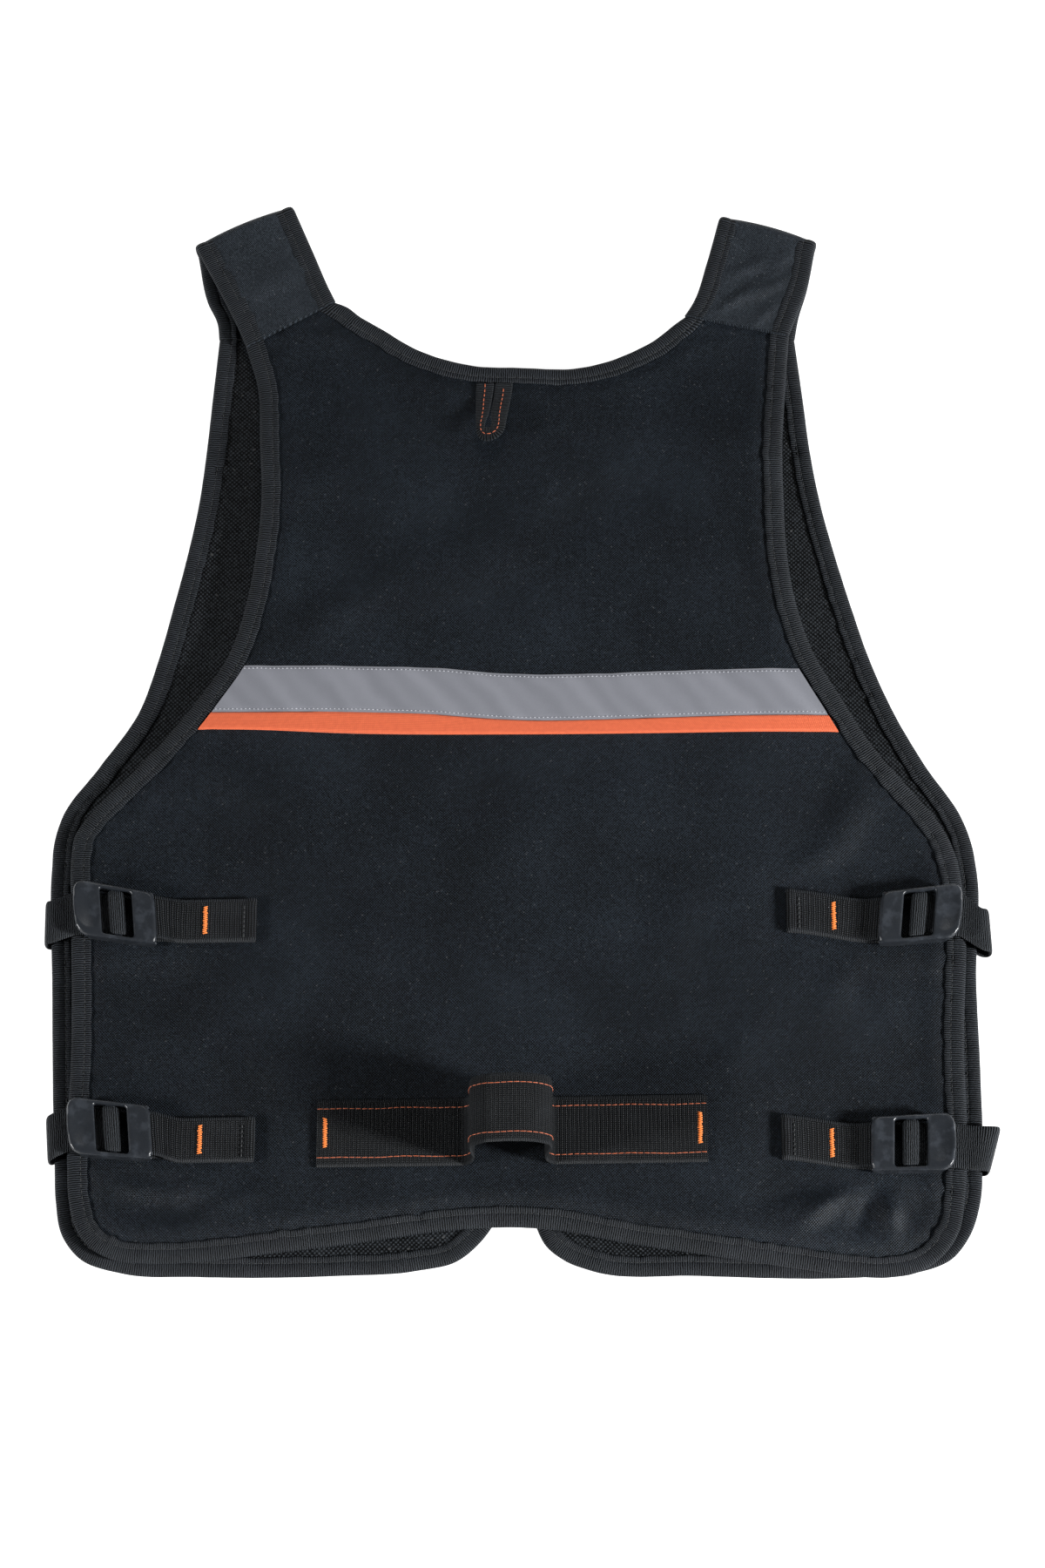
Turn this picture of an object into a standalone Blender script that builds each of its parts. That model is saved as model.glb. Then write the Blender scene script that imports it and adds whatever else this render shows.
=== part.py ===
"""Utility work vest lying on its front, back side up, with folded shoulder straps.

Metres, +Z up, collar towards +Y. The front panels lie on the floor, the padded back
panel lies over them, and both are bound with folded tape. The origin is the centre of
the bounding box on the floor.
"""
import math

import bmesh
import bpy
from mathutils import Vector
from mathutils.geometry import delaunay_2d_cdt

MM = 0.001

# Overall sizes
HALF_WIDTH = 250 * MM        # middle of the back to its side edge
VEST_LENGTH = 654 * MM       # lowest hem point to the top of the shoulder fold
CLEARANCE = 0.3 * MM         # between pieces that touch
SEAM_GAP = 0.5 * MM          # between the ends of pieces that meet edge to edge

# Cloth
PANEL_WALL = 2.0 * MM
STRAP_WALL = 2.0 * MM
TAPE_WALL = 0.8 * MM         # grosgrain of the bindings
BINDING_WIDTH = 11.0 * MM    # visible width of the folded binding

TONGUE_MARGIN = 1.2 * MM     # hidden end under a strap, clear of the strap's bindings

# Heights of the two layers
DOME_RISE = 7.4 * MM         # crown of the back panel over its edges
DOME_REACH = 135 * MM        # how far in from the side the crown is full
HEM_REACH = 26 * MM          # how far up from the hem the crown is full
HEM_SHARE = 0.65             # share of the crown left at the middle of the hem
SHOULDER_REACH = 90 * MM     # how far below the shoulder seam the crown is full
SHOULDER_UP = 0.857          # share of the length where the crown starts

# Webbing and buckles at the sides
WEBBING_WIDTH = 25 * MM
WEBBING_WALL = 1.4 * MM
UNDER_STRAP_LENGTH = 60 * MM  # sewn stretch under the front panel
SET_MARGIN = 5 * MM           # flat cloth each side of a webbing set
SET_FADE = 20 * MM            # stretch over which that flat fades out
PLATE_SLOPE = 0.04            # rise of the cloth under a tab, per unit inwards
BUCKLE_LENGTH = 46.5 * MM
BUCKLE_WIDTH = 31 * MM
BUCKLE_HEIGHT = 8.8 * MM
BUCKLE_RAIL = 2.5 * MM       # width of each side rail
BUCKLE_BASE = 1.4 * MM       # its rails above the cloth, clear of the tab under it
BAR_RADIUS = 1.5 * MM        # low bar that holds the tab
DRIFT_START = 2.5 * MM       # the webbing turns with the buckle up to here
BEND_RUN = 16.0 * MM         # stretch over which a strap comes to its bend's line
TAB_LEVEL = 16.0 * MM        # the tab lies flat from here on, past the bar
TAB_SWELL = 1.2 * MM         # rise of the tab where it nears the bar
TURN_CORNER = 3.0 * MM       # largest corner radius of a strap's turn at the edge

# Buckle seen from its side: shares of its length from its outer end, and of its height
BUCKLE_SIDE = ((0.044, 0.500), (0.133, 0.034), (0.867, 0.000), (0.978, 0.182),
               (1.000, 0.795), (0.973, 1.000), (0.078, 1.000), (0.013, 0.818))
BUCKLE_THUMB_PLATE = ((0.049, 0.614), (0.344, 0.670), (0.344, 0.955), (0.084, 0.955),
                      (0.036, 0.795))
BUCKLE_CENTRE_BAR = ((0.478, 0.500), (0.496, 0.432), (0.560, 0.432), (0.578, 0.500),
                     (0.578, 0.705), (0.564, 0.750), (0.491, 0.750), (0.478, 0.705))
BUCKLE_INNER_PLATE = ((0.733, 0.750), (0.984, 0.750), (0.969, 0.955), (0.733, 0.955))
LOW_BAR = (0.898, 0.335)     # middle of the bar that holds the tab
CORNER_ROUND = 0.08          # how far the outer end's corners draw back
CORNER_REACH = 0.267         # share of the length that is rounded so
NARROWING = 0.05             # share by which the inner end is narrower
DISH_DEPTH = 0.10            # hollow of the thumb plate, as a share of the height
DISH_LENGTH = 0.356
DISH_SKIN = 0.11             # only the faces this close to the top are hollowed

# Side strap over the centre bar, in the same shares
STRAP_OVER_BAR = ((0.629, 0.364), (0.629, 0.682), (0.602, 0.830), (0.560, 0.864),
                  (0.496, 0.864), (0.453, 0.830), (0.427, 0.682), (0.427, 0.432),
                  (0.393, 0.227), (0.327, 0.102))
STRAP_BULGE = 0.6 * MM       # rise of the strap over the binding's inner edge

# Bands over the shoulder blades
REFLECTIVE_WIDTH = 28 * MM
ORANGE_WIDTH = 10 * MM
BAND_WALL = 1.0 * MM
BAND_TOP_UP = 0.5425
BAND_DIP = 5.5 * MM
BAND_COLUMNS = 14
BAND_END_GAP = 1.5 * MM      # from the band's straight end to the curved binding

# Tool webbing with its raised loop
TOOL_WEBBING_WIDTH = 38 * MM
TOOL_WEBBING_WALL = 1.6 * MM
TOOL_LEFT = -111 * MM
TOOL_RIGHT = 100 * MM
TOOL_MIDDLE_UP = 0.1215
TOOL_TILT = 0.015
LOOP_LEFT = -29 * MM
LOOP_RIGHT = 17 * MM
LOOP_HEIGHT = 39 * MM        # at its shoulders
LOOP_ARCH = 5.5 * MM         # how far its middle would bow over them
LOOP_BOW = (-0.60, -0.25, 0.25, 0.60)   # where the bowed top bends, as shares of half of it
LOOP_BEND = 6 * MM
LOOP_FOOT = 2.5 * MM         # bend where a leg of the loop meets the flat webbing
LOOP_LEAN = 1.6 * MM         # how far the left leg leans in at its top

# Hang loop at the back neck
HANG_MIDDLE = -16.2 * MM
HANG_TAPE_WIDTH = 10.2 * MM
HANG_SLIT = 0.8 * MM
HANG_TOP_UP = 0.8367
HANG_LENGTH = 44 * MM
HANG_WALL = 1.2 * MM
HANG_LIFT = 5 * MM           # how far its free end stands off the cloth

# Plain strip that joins the two front panels
CLOSURE_WIDTH = 28 * MM
CLOSURE_WALL = 1.5 * MM
CLOSURE_BOTTOM_UP = 0.092
CLOSURE_TOP_UP = 0.490

# How finely the cloth and the bound edges are divided
STATION_SPACING = 30 * MM
PLAN_ERROR = 0.4 * MM
RISE_ERROR = 0.12 * MM
BACK_GRID = 26 * MM
BACK_GRID_CLEAR = 7 * MM
FRONT_GRID = 48 * MM
FRONT_GRID_CLEAR = 9 * MM
GROUND_COLUMNS = 3
GROUND_EDGE = 4 * MM         # from a binding's inner edge to a set's flat ground
STRAP_FOLD_STEPS = 6
CLOSURE_STEPS = 4
HANG_TURNS = 8
SHARP_EDGE = math.radians(32)

# Levels that follow from the sizes above
BINDING_STEP = CLEARANCE + TAPE_WALL
BINDING_LEG = BINDING_WIDTH - BINDING_STEP
FRONT_TOP = BINDING_STEP + PANEL_WALL
BACK_EDGE_TOP = FRONT_TOP + BINDING_STEP + CLEARANCE + BINDING_STEP + PANEL_WALL
STRAP_RISE = WEBBING_WALL + CLEARANCE
STRAP_LOW = BINDING_STEP + STRAP_WALL / 2
STRAP_HIGH = BACK_EDGE_TOP + CLEARANCE + STRAP_WALL / 2

# Outline of the back panel's binding: share of the length up from the hem, then
# left and right share of the half width
BACK_SIDES = (
    (0.857, -0.645, 0.622),
    (0.8165, -0.618, 0.614),
    (0.758, -0.608, 0.602),
    (0.702, -0.601, 0.601),
    (0.647, -0.611, 0.606),
    (0.604, -0.628, 0.622),
    (0.550, -0.670, 0.666),
    (0.5175, -0.723, 0.714),
    (0.469, -0.820, 0.788),
    (0.436, -0.899, 0.856),
    (0.404, -0.974, 0.923),
    (0.388, -0.999, 0.948),
    (0.3685, -1.005, 0.966),
    (0.324, -1.000, 0.978),
    (0.200, -0.987, 0.966),
    (0.095, -0.984, 0.960),
    (0.066, -0.978, 0.953),
    (0.040, -0.958, 0.939),
)

# Hem of the back panel, left to right: share of the half width, share of the length
BACK_HEM = (
    (-0.924, 0.0245),
    (-0.871, 0.0147),
    (-0.800, 0.0118),
    (-0.672, 0.0133),
    (-0.560, 0.0183),
    (-0.336, 0.0301),
    (-0.187, 0.0398),
    (-0.095, 0.0434),
    (0.000, 0.0442),
    (0.075, 0.0419),
    (0.224, 0.0301),
    (0.410, 0.0168),
    (0.524, 0.0100),
    (0.615, 0.0052),
    (0.704, 0.0008),
    (0.782, 0.0000),
    (0.854, 0.0060),
    (0.906, 0.0206),
)

# Back neckline, left to right: share of the half width, share of the length
BACK_NECK = (
    (-0.368, 0.8896),
    (-0.306, 0.8710),
    (-0.245, 0.8550),
    (-0.184, 0.8456),
    (-0.122, 0.8393),
    (0.000, 0.8367),
    (0.122, 0.8360),
    (0.183, 0.8411),
    (0.245, 0.8508),
    (0.306, 0.8640),
    (0.355, 0.8800),
)

# Outline of the front panels' binding: share up, left share, right share. It runs
# down the armhole and side, along the hem and round to the middle.
FRONT_EDGES = (
    (0.8690, -0.712, 0.639),
    (0.8085, -0.724, 0.655),
    (0.7570, -0.734, 0.668),
    (0.7050, -0.748, 0.689),
    (0.6540, -0.771, 0.719),
    (0.6040, -0.799, 0.753),
    (0.5540, -0.829, 0.791),
    (0.5040, -0.870, 0.842),
    (0.4550, -0.951, 0.908),
    (0.4070, -1.032, 0.984),
    (0.3830, -1.047, 1.004),
    (0.3590, -1.049, 1.012),
    (0.2650, -1.038, 1.001),
    (0.1720, -1.026, 1.001),
    (0.0970, -1.013, 0.996),
    (0.0670, -1.008, 0.989),
    (0.0370, -0.990, 0.962),
    (0.0190, -0.953, 0.925),
    (0.0060, -0.860, 0.838),
    (0.0030, -0.700, 0.740),
    (0.0040, -0.390, 0.373),
    (0.0080, -0.230, 0.150),
    (0.0170, -0.137, 0.090),
    (0.0300, -0.096, 0.049),
    (0.0450, -0.066, 0.030),
    (0.0800, -0.030, 0.014),
)

# Hidden edge of the front panels, from the middle up to the shoulder strap
FRONT_INNER = (
    (0.400, -0.012, 0.010),
    (0.500, -0.014, 0.012),
    (0.620, -0.160, 0.140),
    (0.760, -0.340, 0.310),
    (0.869, -0.484, 0.414),
)

# Shoulder straps: outer across and up, inner across and up, as shares. The upper
# rows run from the back seam to the fold, the lower rows from the fold to the front.
STRAPS = {
    "left": {
        "upper": (
            (-0.647, 0.8570, -0.418, 0.8990),
            (-0.662, 0.8700, -0.447, 0.9110),
            (-0.716, 0.9140, -0.488, 0.9460),
        ),
        "fold": (-0.775, 0.9583, -0.548, 1.0000),
        "lower": (
            (-0.742, 0.9060, -0.520, 0.9500),
            (-0.718, 0.8850, -0.492, 0.9050),
            (-0.713, 0.8690, -0.484, 0.8690),
        ),
    },
    "right": {
        "upper": (
            (0.625, 0.8675, 0.381, 0.8880),
            (0.636, 0.8790, 0.400, 0.9000),
            (0.672, 0.9180, 0.434, 0.9400),
        ),
        "fold": (0.699, 0.9655, 0.471, 0.9925),
        "lower": (
            (0.672, 0.9185, 0.450, 0.9400),
            (0.650, 0.8900, 0.424, 0.9050),
            (0.640, 0.8690, 0.414, 0.8690),
        ),
    },
}

# Webbing sets at the sides: share up the vest of the buckle's middle, side edge as a
# share of the half width, front edge as a share, buckle's outer end in from the edge,
# its turn in degrees, how far the tab's sewn end and the strap's bend lie off the
# middle line, how far the bend stands out past the front edge at its upper and lower
# side, where the tab's sewn end lies in from the side edge, and over what length the
# tab comes to its own line
SETS = {
    "upper_left": dict(up=0.3117, edge=-0.999, front=-1.044, buckle=1.8 * MM, turn=7.5,
                       tab_off=-3.2 * MM, bend_off=-2.8 * MM,
                       reach_up=3.2 * MM, reach_down=2.8 * MM,
                       tab_end=103 * MM, tab_run=16 * MM),
    "upper_right": dict(up=0.3105, edge=0.977, front=1.009, buckle=1.7 * MM, turn=6.0,
                        tab_off=3.2 * MM, bend_off=-6.5 * MM,
                        reach_up=6.0 * MM, reach_down=7.0 * MM,
                        tab_end=98.5 * MM, tab_run=50 * MM),
    "lower_left": dict(up=0.1220, edge=-0.985, front=-1.018, buckle=0.0 * MM, turn=5.5,
                       tab_off=-5.0 * MM, bend_off=-4.0 * MM,
                       reach_up=4.0 * MM, reach_down=2.2 * MM,
                       tab_end=101.5 * MM, tab_run=16 * MM),
    "lower_right": dict(up=0.1100, edge=0.961, front=0.999, buckle=6.4 * MM, turn=2.0,
                        tab_off=4.3 * MM, bend_off=-1.0 * MM,
                        reach_up=9.5 * MM, reach_down=2.4 * MM,
                        tab_end=100 * MM, tab_run=50 * MM),
}

# Soft folds fade out between these distances from the edges
FOLD_EDGE = 12 * MM
FOLD_FADE = 25 * MM

# Soft folds of the back panel: middle across and up as shares, direction in degrees,
# length and half width of the fold, and its height
FOLDS = (
    (0.640, 0.070, 45, 70 * MM, 15 * MM, 3.0 * MM),
    (0.790, 0.050, 100, 45 * MM, 13 * MM, 2.2 * MM),
    (0.810, 0.085, -25, 50 * MM, 12 * MM, -1.8 * MM),
    (-0.760, 0.055, 3, 80 * MM, 12 * MM, -1.8 * MM),
    (-0.700, 0.085, 60, 50 * MM, 13 * MM, 1.5 * MM),
    (0.720, 0.400, 60, 80 * MM, 18 * MM, 2.0 * MM),
    (-0.480, 0.720, 15, 70 * MM, 20 * MM, 1.4 * MM),
    (0.460, 0.760, -20, 70 * MM, 20 * MM, 1.4 * MM),
    (-0.620, 0.430, -35, 80 * MM, 18 * MM, 1.4 * MM),
    (0.330, 0.300, 80, 90 * MM, 20 * MM, 1.2 * MM),
    (-0.350, 0.270, 100, 90 * MM, 20 * MM, 1.2 * MM),
)

# Colours: name of the finish, base colour, roughness
FINISHES = {
    "shell_cloth": ((0.012, 0.015, 0.018, 1.0), 0.85),
    "strap_cloth": ((0.016, 0.020, 0.025, 1.0), 0.85),
    "grosgrain": ((0.020, 0.023, 0.026, 1.0), 0.80),
    "webbing": ((0.014, 0.016, 0.018, 1.0), 0.75),
    "reflective": ((0.250, 0.260, 0.300, 1.0), 0.45),
    "orange": ((0.830, 0.160, 0.060, 1.0), 0.70),
    "buckle_plastic": ((0.045, 0.050, 0.058, 1.0), 0.45),
}


def across(share):
    return share * HALF_WIDTH


def up(share):
    return (share - 0.5) * VEST_LENGTH


def smooth_step(value):
    value = min(max(value, 0.0), 1.0)
    return value * value * (3.0 - 2.0 * value)


def mix(a, b, share):
    return a + (b - a) * share


def make_material(name):
    colour, roughness = FINISHES[name]
    material = bpy.data.materials.new(name)
    material.use_nodes = True
    shader = material.node_tree.nodes["Principled BSDF"]
    shader.inputs["Base Color"].default_value = colour
    shader.inputs["Roughness"].default_value = roughness
    shader.inputs["Metallic"].default_value = 0.0
    material.diffuse_color = colour
    return material


def make_object(name, vertices, faces, finish):
    mesh = bpy.data.meshes.new(name)
    mesh.from_pydata([tuple(vertex) for vertex in vertices], [], faces)
    shape = bmesh.new()
    shape.from_mesh(mesh)
    bmesh.ops.recalc_face_normals(shape, faces=shape.faces)
    shape.to_mesh(mesh)
    shape.free()
    mesh.shade_smooth()
    mesh.set_sharp_from_angle(angle=SHARP_EDGE)
    mesh.materials.append(make_material(finish))
    piece = bpy.data.objects.new(name, mesh)
    bpy.context.scene.collection.objects.link(piece)
    return piece


def smooth_path(points, steps=10):
    """Points along a smooth curve through the given plan points."""
    points = [Vector(point) for point in points]
    count = len(points)
    tangents = []
    for index in range(count):
        before = points[max(index - 1, 0)]
        after = points[min(index + 1, count - 1)]
        here = points[index]
        back = max((here - before).length, 1e-9)
        ahead = max((after - here).length, 1e-9)
        if index == 0:
            tangents.append((after - here) / ahead)
        elif index == count - 1:
            tangents.append((here - before) / back)
        else:
            slope = (after - here) / ahead * back + (here - before) / back * ahead
            tangents.append(slope / (back + ahead))
    curve = []
    for index in range(count - 1):
        start = points[index]
        end = points[index + 1]
        length = (end - start).length
        for step in range(steps):
            t = step / steps
            curve.append(
                start * (2 * t ** 3 - 3 * t ** 2 + 1)
                + tangents[index] * length * (t ** 3 - 2 * t ** 2 + t)
                + end * (3 * t ** 2 - 2 * t ** 3)
                + tangents[index + 1] * length * (t ** 3 - t ** 2)
            )
    curve.append(points[-1])
    return curve


def chord_error(points, start, end):
    first = points[start]
    along = points[end] - first
    length_squared = max(along.length_squared, 1e-12)
    worst = 0.0
    for index in range(start + 1, end):
        offset = points[index] - first
        share = offset.dot(along) / length_squared
        worst = max(worst, (offset - along * share).length)
    return worst


def thin_path(curve, surface, spacing, plan_error, rise_error):
    """Keep only the points that the curve and the cloth's height need."""
    plan = [Vector((point.x, point.y)) for point in curve]
    travelled = [0.0]
    for index in range(1, len(plan)):
        travelled.append(travelled[-1] + (plan[index] - plan[index - 1]).length)
    rises = [Vector((travelled[index], surface(plan[index].x, plan[index].y)))
             for index in range(len(plan))]
    kept = [0]
    for index in range(1, len(plan)):
        last = kept[-1]
        too_long = travelled[index] - travelled[last] > spacing
        too_bent = chord_error(plan, last, index) > plan_error
        too_high = chord_error(rises, last, index) > rise_error
        if index - last > 1 and (too_long or too_bent or too_high):
            kept.append(index - 1)
    kept.append(len(plan) - 1)
    return [plan[index] for index in kept]


def inward_points(path, width, side, first=None, last=None):
    """Points at the given distance to one side of a plan path, mitred at its ends."""
    inner = []
    for index, point in enumerate(path):
        before = path[max(index - 1, 0)]
        after = path[min(index + 1, len(path) - 1)]
        run = (after - before).normalized()
        direction = Vector((-run.y, run.x)) * side
        if index == 0 and first is not None:
            direction = first.normalized()
        if index == len(path) - 1 and last is not None:
            direction = last.normalized()
        inner.append(point + direction * width)
    return inner


class Plan:
    """Plan points and fixed links of a cloth panel, filled with triangles."""

    def __init__(self):
        self.points = []
        self.links = []

    def add(self, point):
        for index, known in enumerate(self.points):
            if abs(known.x - point[0]) < 1e-7 and abs(known.y - point[1]) < 1e-7:
                return index
        self.points.append(Vector((point[0], point[1])))
        return len(self.points) - 1

    def link(self, start, end):
        first = self.add(start)
        second = self.add(end)
        if first != second:
            self.links.append((first, second))

    def line(self, points, closed=False):
        for index in range(len(points) - 1):
            self.link(points[index], points[index + 1])
        if closed:
            self.link(points[-1], points[0])

    def strip(self, left, right):
        """Fix the triangles of a strip, so that a piece over it fits them."""
        self.line(left)
        self.line(right)
        for index in range(len(left)):
            self.link(left[index], right[index])
            if index + 1 < len(left):
                self.link(left[index], right[index + 1])

    def scatter(self, candidates, keep_out, distance):
        """Add loose points that lie clear of the fixed ones and of the outlines."""
        for candidate in candidates:
            point = Vector(candidate)
            if any(inside(point, outline) for outline in keep_out):
                continue
            if any((known - point).length < distance for known in self.points):
                continue
            self.points.append(point)

    def solid(self, surface, wall, outline):
        result = delaunay_2d_cdt(self.points, self.links, [], 1, 1e-6)
        corners = result[0]
        top = [(p.x, p.y, surface(p.x, p.y)) for p in corners]
        bottom = [(x, y, z - wall) for x, y, z in top]
        count = len(top)
        faces = []
        directed = set()
        for face in result[2]:
            a, b, c = face
            turn = (corners[b] - corners[a]).cross(corners[c] - corners[a])
            middle = (corners[a] + corners[b] + corners[c]) / 3
            if not inside(middle, outline):
                continue
            if turn < 0:
                b, c = c, b
            faces.append((a, b, c))
            faces.append((a + count, c + count, b + count))
            directed.update(((a, b), (b, c), (c, a)))
        for a, b in directed:
            if (b, a) not in directed:
                faces.append((b, a, a + count))
                faces.append((b, a + count, b + count))
        return tidy_mesh(top + bottom, faces)


def tidy_mesh(vertices, faces):
    """Drop vertices that no face uses."""
    used = sorted({index for face in faces for index in face})
    renumber = {index: place for place, index in enumerate(used)}
    kept = [vertices[index] for index in used]
    return kept, [tuple(renumber[index] for index in face) for face in faces]


def inside(point, outline):
    hit = False
    count = len(outline)
    for index in range(count):
        a = outline[index]
        b = outline[(index + 1) % count]
        if (a[1] > point.y) != (b[1] > point.y):
            crossing = a[0] + (point.y - a[1]) / (b[1] - a[1]) * (b[0] - a[0])
            if point.x < crossing:
                hit = not hit
    return hit


def sweep(sections):
    """Closed mesh through a row of sections with equal numbers of points."""
    vertices = [point for section in sections for point in section]
    size = len(sections[0])
    faces = []
    for row in range(len(sections) - 1):
        for index in range(size):
            a = row * size + index
            b = row * size + (index + 1) % size
            faces.append((a, b, b + size))
            faces.append((a, b + size, a + size))
    last = (len(sections) - 1) * size
    faces.append(tuple(reversed(range(size))))
    faces.append(tuple(range(last, last + size)))
    return vertices, faces


def ribbon(stations, wall):
    """Flat webbing through stations of a left point, a right point and a normal."""
    sections = []
    for left, right, normal in stations:
        half = normal * (wall / 2)
        sections.append((left + half, right + half, right - half, left - half))
    return sweep(sections)


def binding(stations, cloth_wall):
    """Folded tape round an edge, through stations of edge point, inner point and normal."""
    half = cloth_wall / 2 + CLEARANCE
    outer = half + TAPE_WALL
    sections = []
    for edge, inner, normal in stations:
        out = (edge - inner).normalized()
        lip = edge + out * CLEARANCE
        nose = edge + out * BINDING_STEP
        sections.append((
            inner + normal * half,
            inner + normal * outer,
            lip + normal * outer,
            nose + normal * (half / 2),
            nose - normal * (half / 2),
            lip - normal * outer,
            inner - normal * outer,
            inner - normal * half,
            lip - normal * half,
            lip + normal * half,
        ))
    return sweep(sections)


def over_cloth(left, right, surface, lift, wall):
    """Thin piece that lies on the cloth between two rows of plan points."""
    bottom = []
    top = []
    for a, b in zip(left, right):
        for point in (a, b):
            height = surface(point[0], point[1]) + lift
            bottom.append(Vector((point[0], point[1], height)))
            top.append(Vector((point[0], point[1], height + wall)))
    sections = []
    for index in range(len(left)):
        sections.append((bottom[2 * index], bottom[2 * index + 1],
                         top[2 * index + 1], top[2 * index]))
    return sweep(sections)


# Heights of the cloth

HEM_POINTS = [(across(x), up(y)) for x, y in BACK_HEM]


def hem_line(x):
    if x <= HEM_POINTS[0][0]:
        return HEM_POINTS[0][1]
    for (x0, y0), (x1, y1) in zip(HEM_POINTS, HEM_POINTS[1:]):
        if x <= x1:
            return mix(y0, y1, (x - x0) / (x1 - x0))
    return HEM_POINTS[-1][1]


def set_weight(row, x, y, start, depth):
    """Share of the flat ground of a webbing set, which fades out round it."""
    side = math.copysign(1.0, row["edge"])
    inwards = side * (start - x)
    off_line = abs(y - up(row["up"])) - WEBBING_WIDTH / 2 - SET_MARGIN
    off_depth = inwards - depth - SET_MARGIN
    return smooth_step(1 - off_line / SET_FADE) * smooth_step(1 - off_depth / SET_FADE)


def fold_height(x, y):
    total = 0.0
    for middle_x, middle_y, angle, length, half_width, height in FOLDS:
        run = Vector((math.cos(math.radians(angle)), math.sin(math.radians(angle))))
        offset = Vector((x - across(middle_x), y - up(middle_y)))
        along = offset.dot(run) / (length / 2)
        beside = offset.cross(run) / half_width
        if abs(along) < 1 and abs(beside) < 1:
            total += height * (1 - along ** 2) ** 2 * (1 - beside ** 2) ** 2
    return total


def edge_fade(x, y):
    """Folds die out towards the bound edges."""
    from_edge = min(HALF_WIDTH - abs(x), y - hem_line(x))
    return smooth_step((from_edge - FOLD_EDGE) / FOLD_FADE)


def back_top(x, y):
    from_side = smooth_step((HALF_WIDTH - abs(x)) / DOME_REACH)
    from_hem = mix(HEM_SHARE, 1.0, smooth_step((y - hem_line(x)) / HEM_REACH))
    from_shoulder = smooth_step((up(SHOULDER_UP) - y) / SHOULDER_REACH)
    height = BACK_EDGE_TOP + DOME_RISE * from_side * from_hem * from_shoulder
    height += fold_height(x, y) * edge_fade(x, y)
    for row in SETS.values():
        edge = across(row["edge"])
        weight = set_weight(row, x, y, edge, row["tab_end"])
        if weight > 0:
            inwards = abs(edge) - abs(x)
            plate = BACK_EDGE_TOP + STRAP_RISE + PLATE_SLOPE * max(inwards, 0.0)
            height = mix(height, plate, weight)
    return height


def front_top(x, y):
    height = FRONT_TOP
    for row in SETS.values():
        edge = across(row["front"])
        height += STRAP_RISE * set_weight(row, x, y, edge, UNDER_STRAP_LENGTH + SET_MARGIN)
    return height


class Bound:
    """One bound stretch of a panel's edge: its edge points and the tape's inner line."""

    def __init__(self, outline, side, surface, first=None, last=None):
        curve = smooth_path(outline)
        thinned = thin_path(curve, surface, STATION_SPACING, PLAN_ERROR, RISE_ERROR)
        self.edge = inward_points(thinned, BINDING_STEP, side, first, last)
        self.inner = inward_points(thinned, BINDING_WIDTH, side, first, last)
        self.surface = surface

    def stations(self, wall):
        rows = []
        for edge, inner in zip(self.edge, self.inner):
            rows.append((
                Vector((edge.x, edge.y, self.surface(edge.x, edge.y) - wall / 2)),
                Vector((inner.x, inner.y, self.surface(inner.x, inner.y) - wall / 2)),
                Vector((0, 0, 1)),
            ))
        return rows


def seam_ends(side):
    """Outer and inner end of the seam where a strap is sewn over the back panel."""
    row = STRAPS[side]["upper"][0]
    outer = Vector((across(row[0]), up(row[1])))
    inner = Vector((across(row[2]), up(row[3])))
    return outer, inner


def back_outline():
    """The bound stretch from the left shoulder seam round the hem to the right one."""
    left_outer, left_inner = seam_ends("left")
    right_outer, right_inner = seam_ends("right")
    down = [left_outer]
    down += [Vector((across(row[1]), up(row[0]))) for row in BACK_SIDES[1:]]
    bottom = [Vector((across(x), up(y))) for x, y in BACK_HEM]
    rise = [Vector((across(row[2]), up(row[0]))) for row in reversed(BACK_SIDES[1:])]
    rise.append(right_outer)
    path = down + bottom + rise
    path[0] = path[0] + (path[1] - path[0]).normalized() * SEAM_GAP
    path[-1] = path[-1] + (path[-2] - path[-1]).normalized() * SEAM_GAP
    return Bound(path, 1, back_top, left_inner - left_outer, right_inner - right_outer)


def neck_outline():
    left_outer, left_inner = seam_ends("left")
    right_outer, right_inner = seam_ends("right")
    path = [left_inner]
    path += [Vector((across(x), up(y))) for x, y in BACK_NECK]
    path.append(right_inner)
    path[0] = path[0] + (path[1] - path[0]).normalized() * SEAM_GAP
    path[-1] = path[-1] + (path[-2] - path[-1]).normalized() * SEAM_GAP
    return Bound(path, -1, back_top, left_outer - left_inner, right_outer - right_inner)


def strap_tongue(side):
    """The panel's hidden end under a strap, between the strap's bindings."""
    row = STRAPS[side]["upper"][1]
    outer, inner = seam_ends(side)
    next_outer = Vector((across(row[0]), up(row[1])))
    next_inner = Vector((across(row[2]), up(row[3])))
    margin = BINDING_WIDTH + TONGUE_MARGIN
    run = (inner - outer).normalized()
    next_run = (next_inner - next_outer).normalized()
    step = (next_outer - outer).normalized() * SEAM_GAP
    return (outer + run * margin - step, next_outer + next_run * margin,
            next_inner - next_run * margin, inner - run * margin - step)


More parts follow.
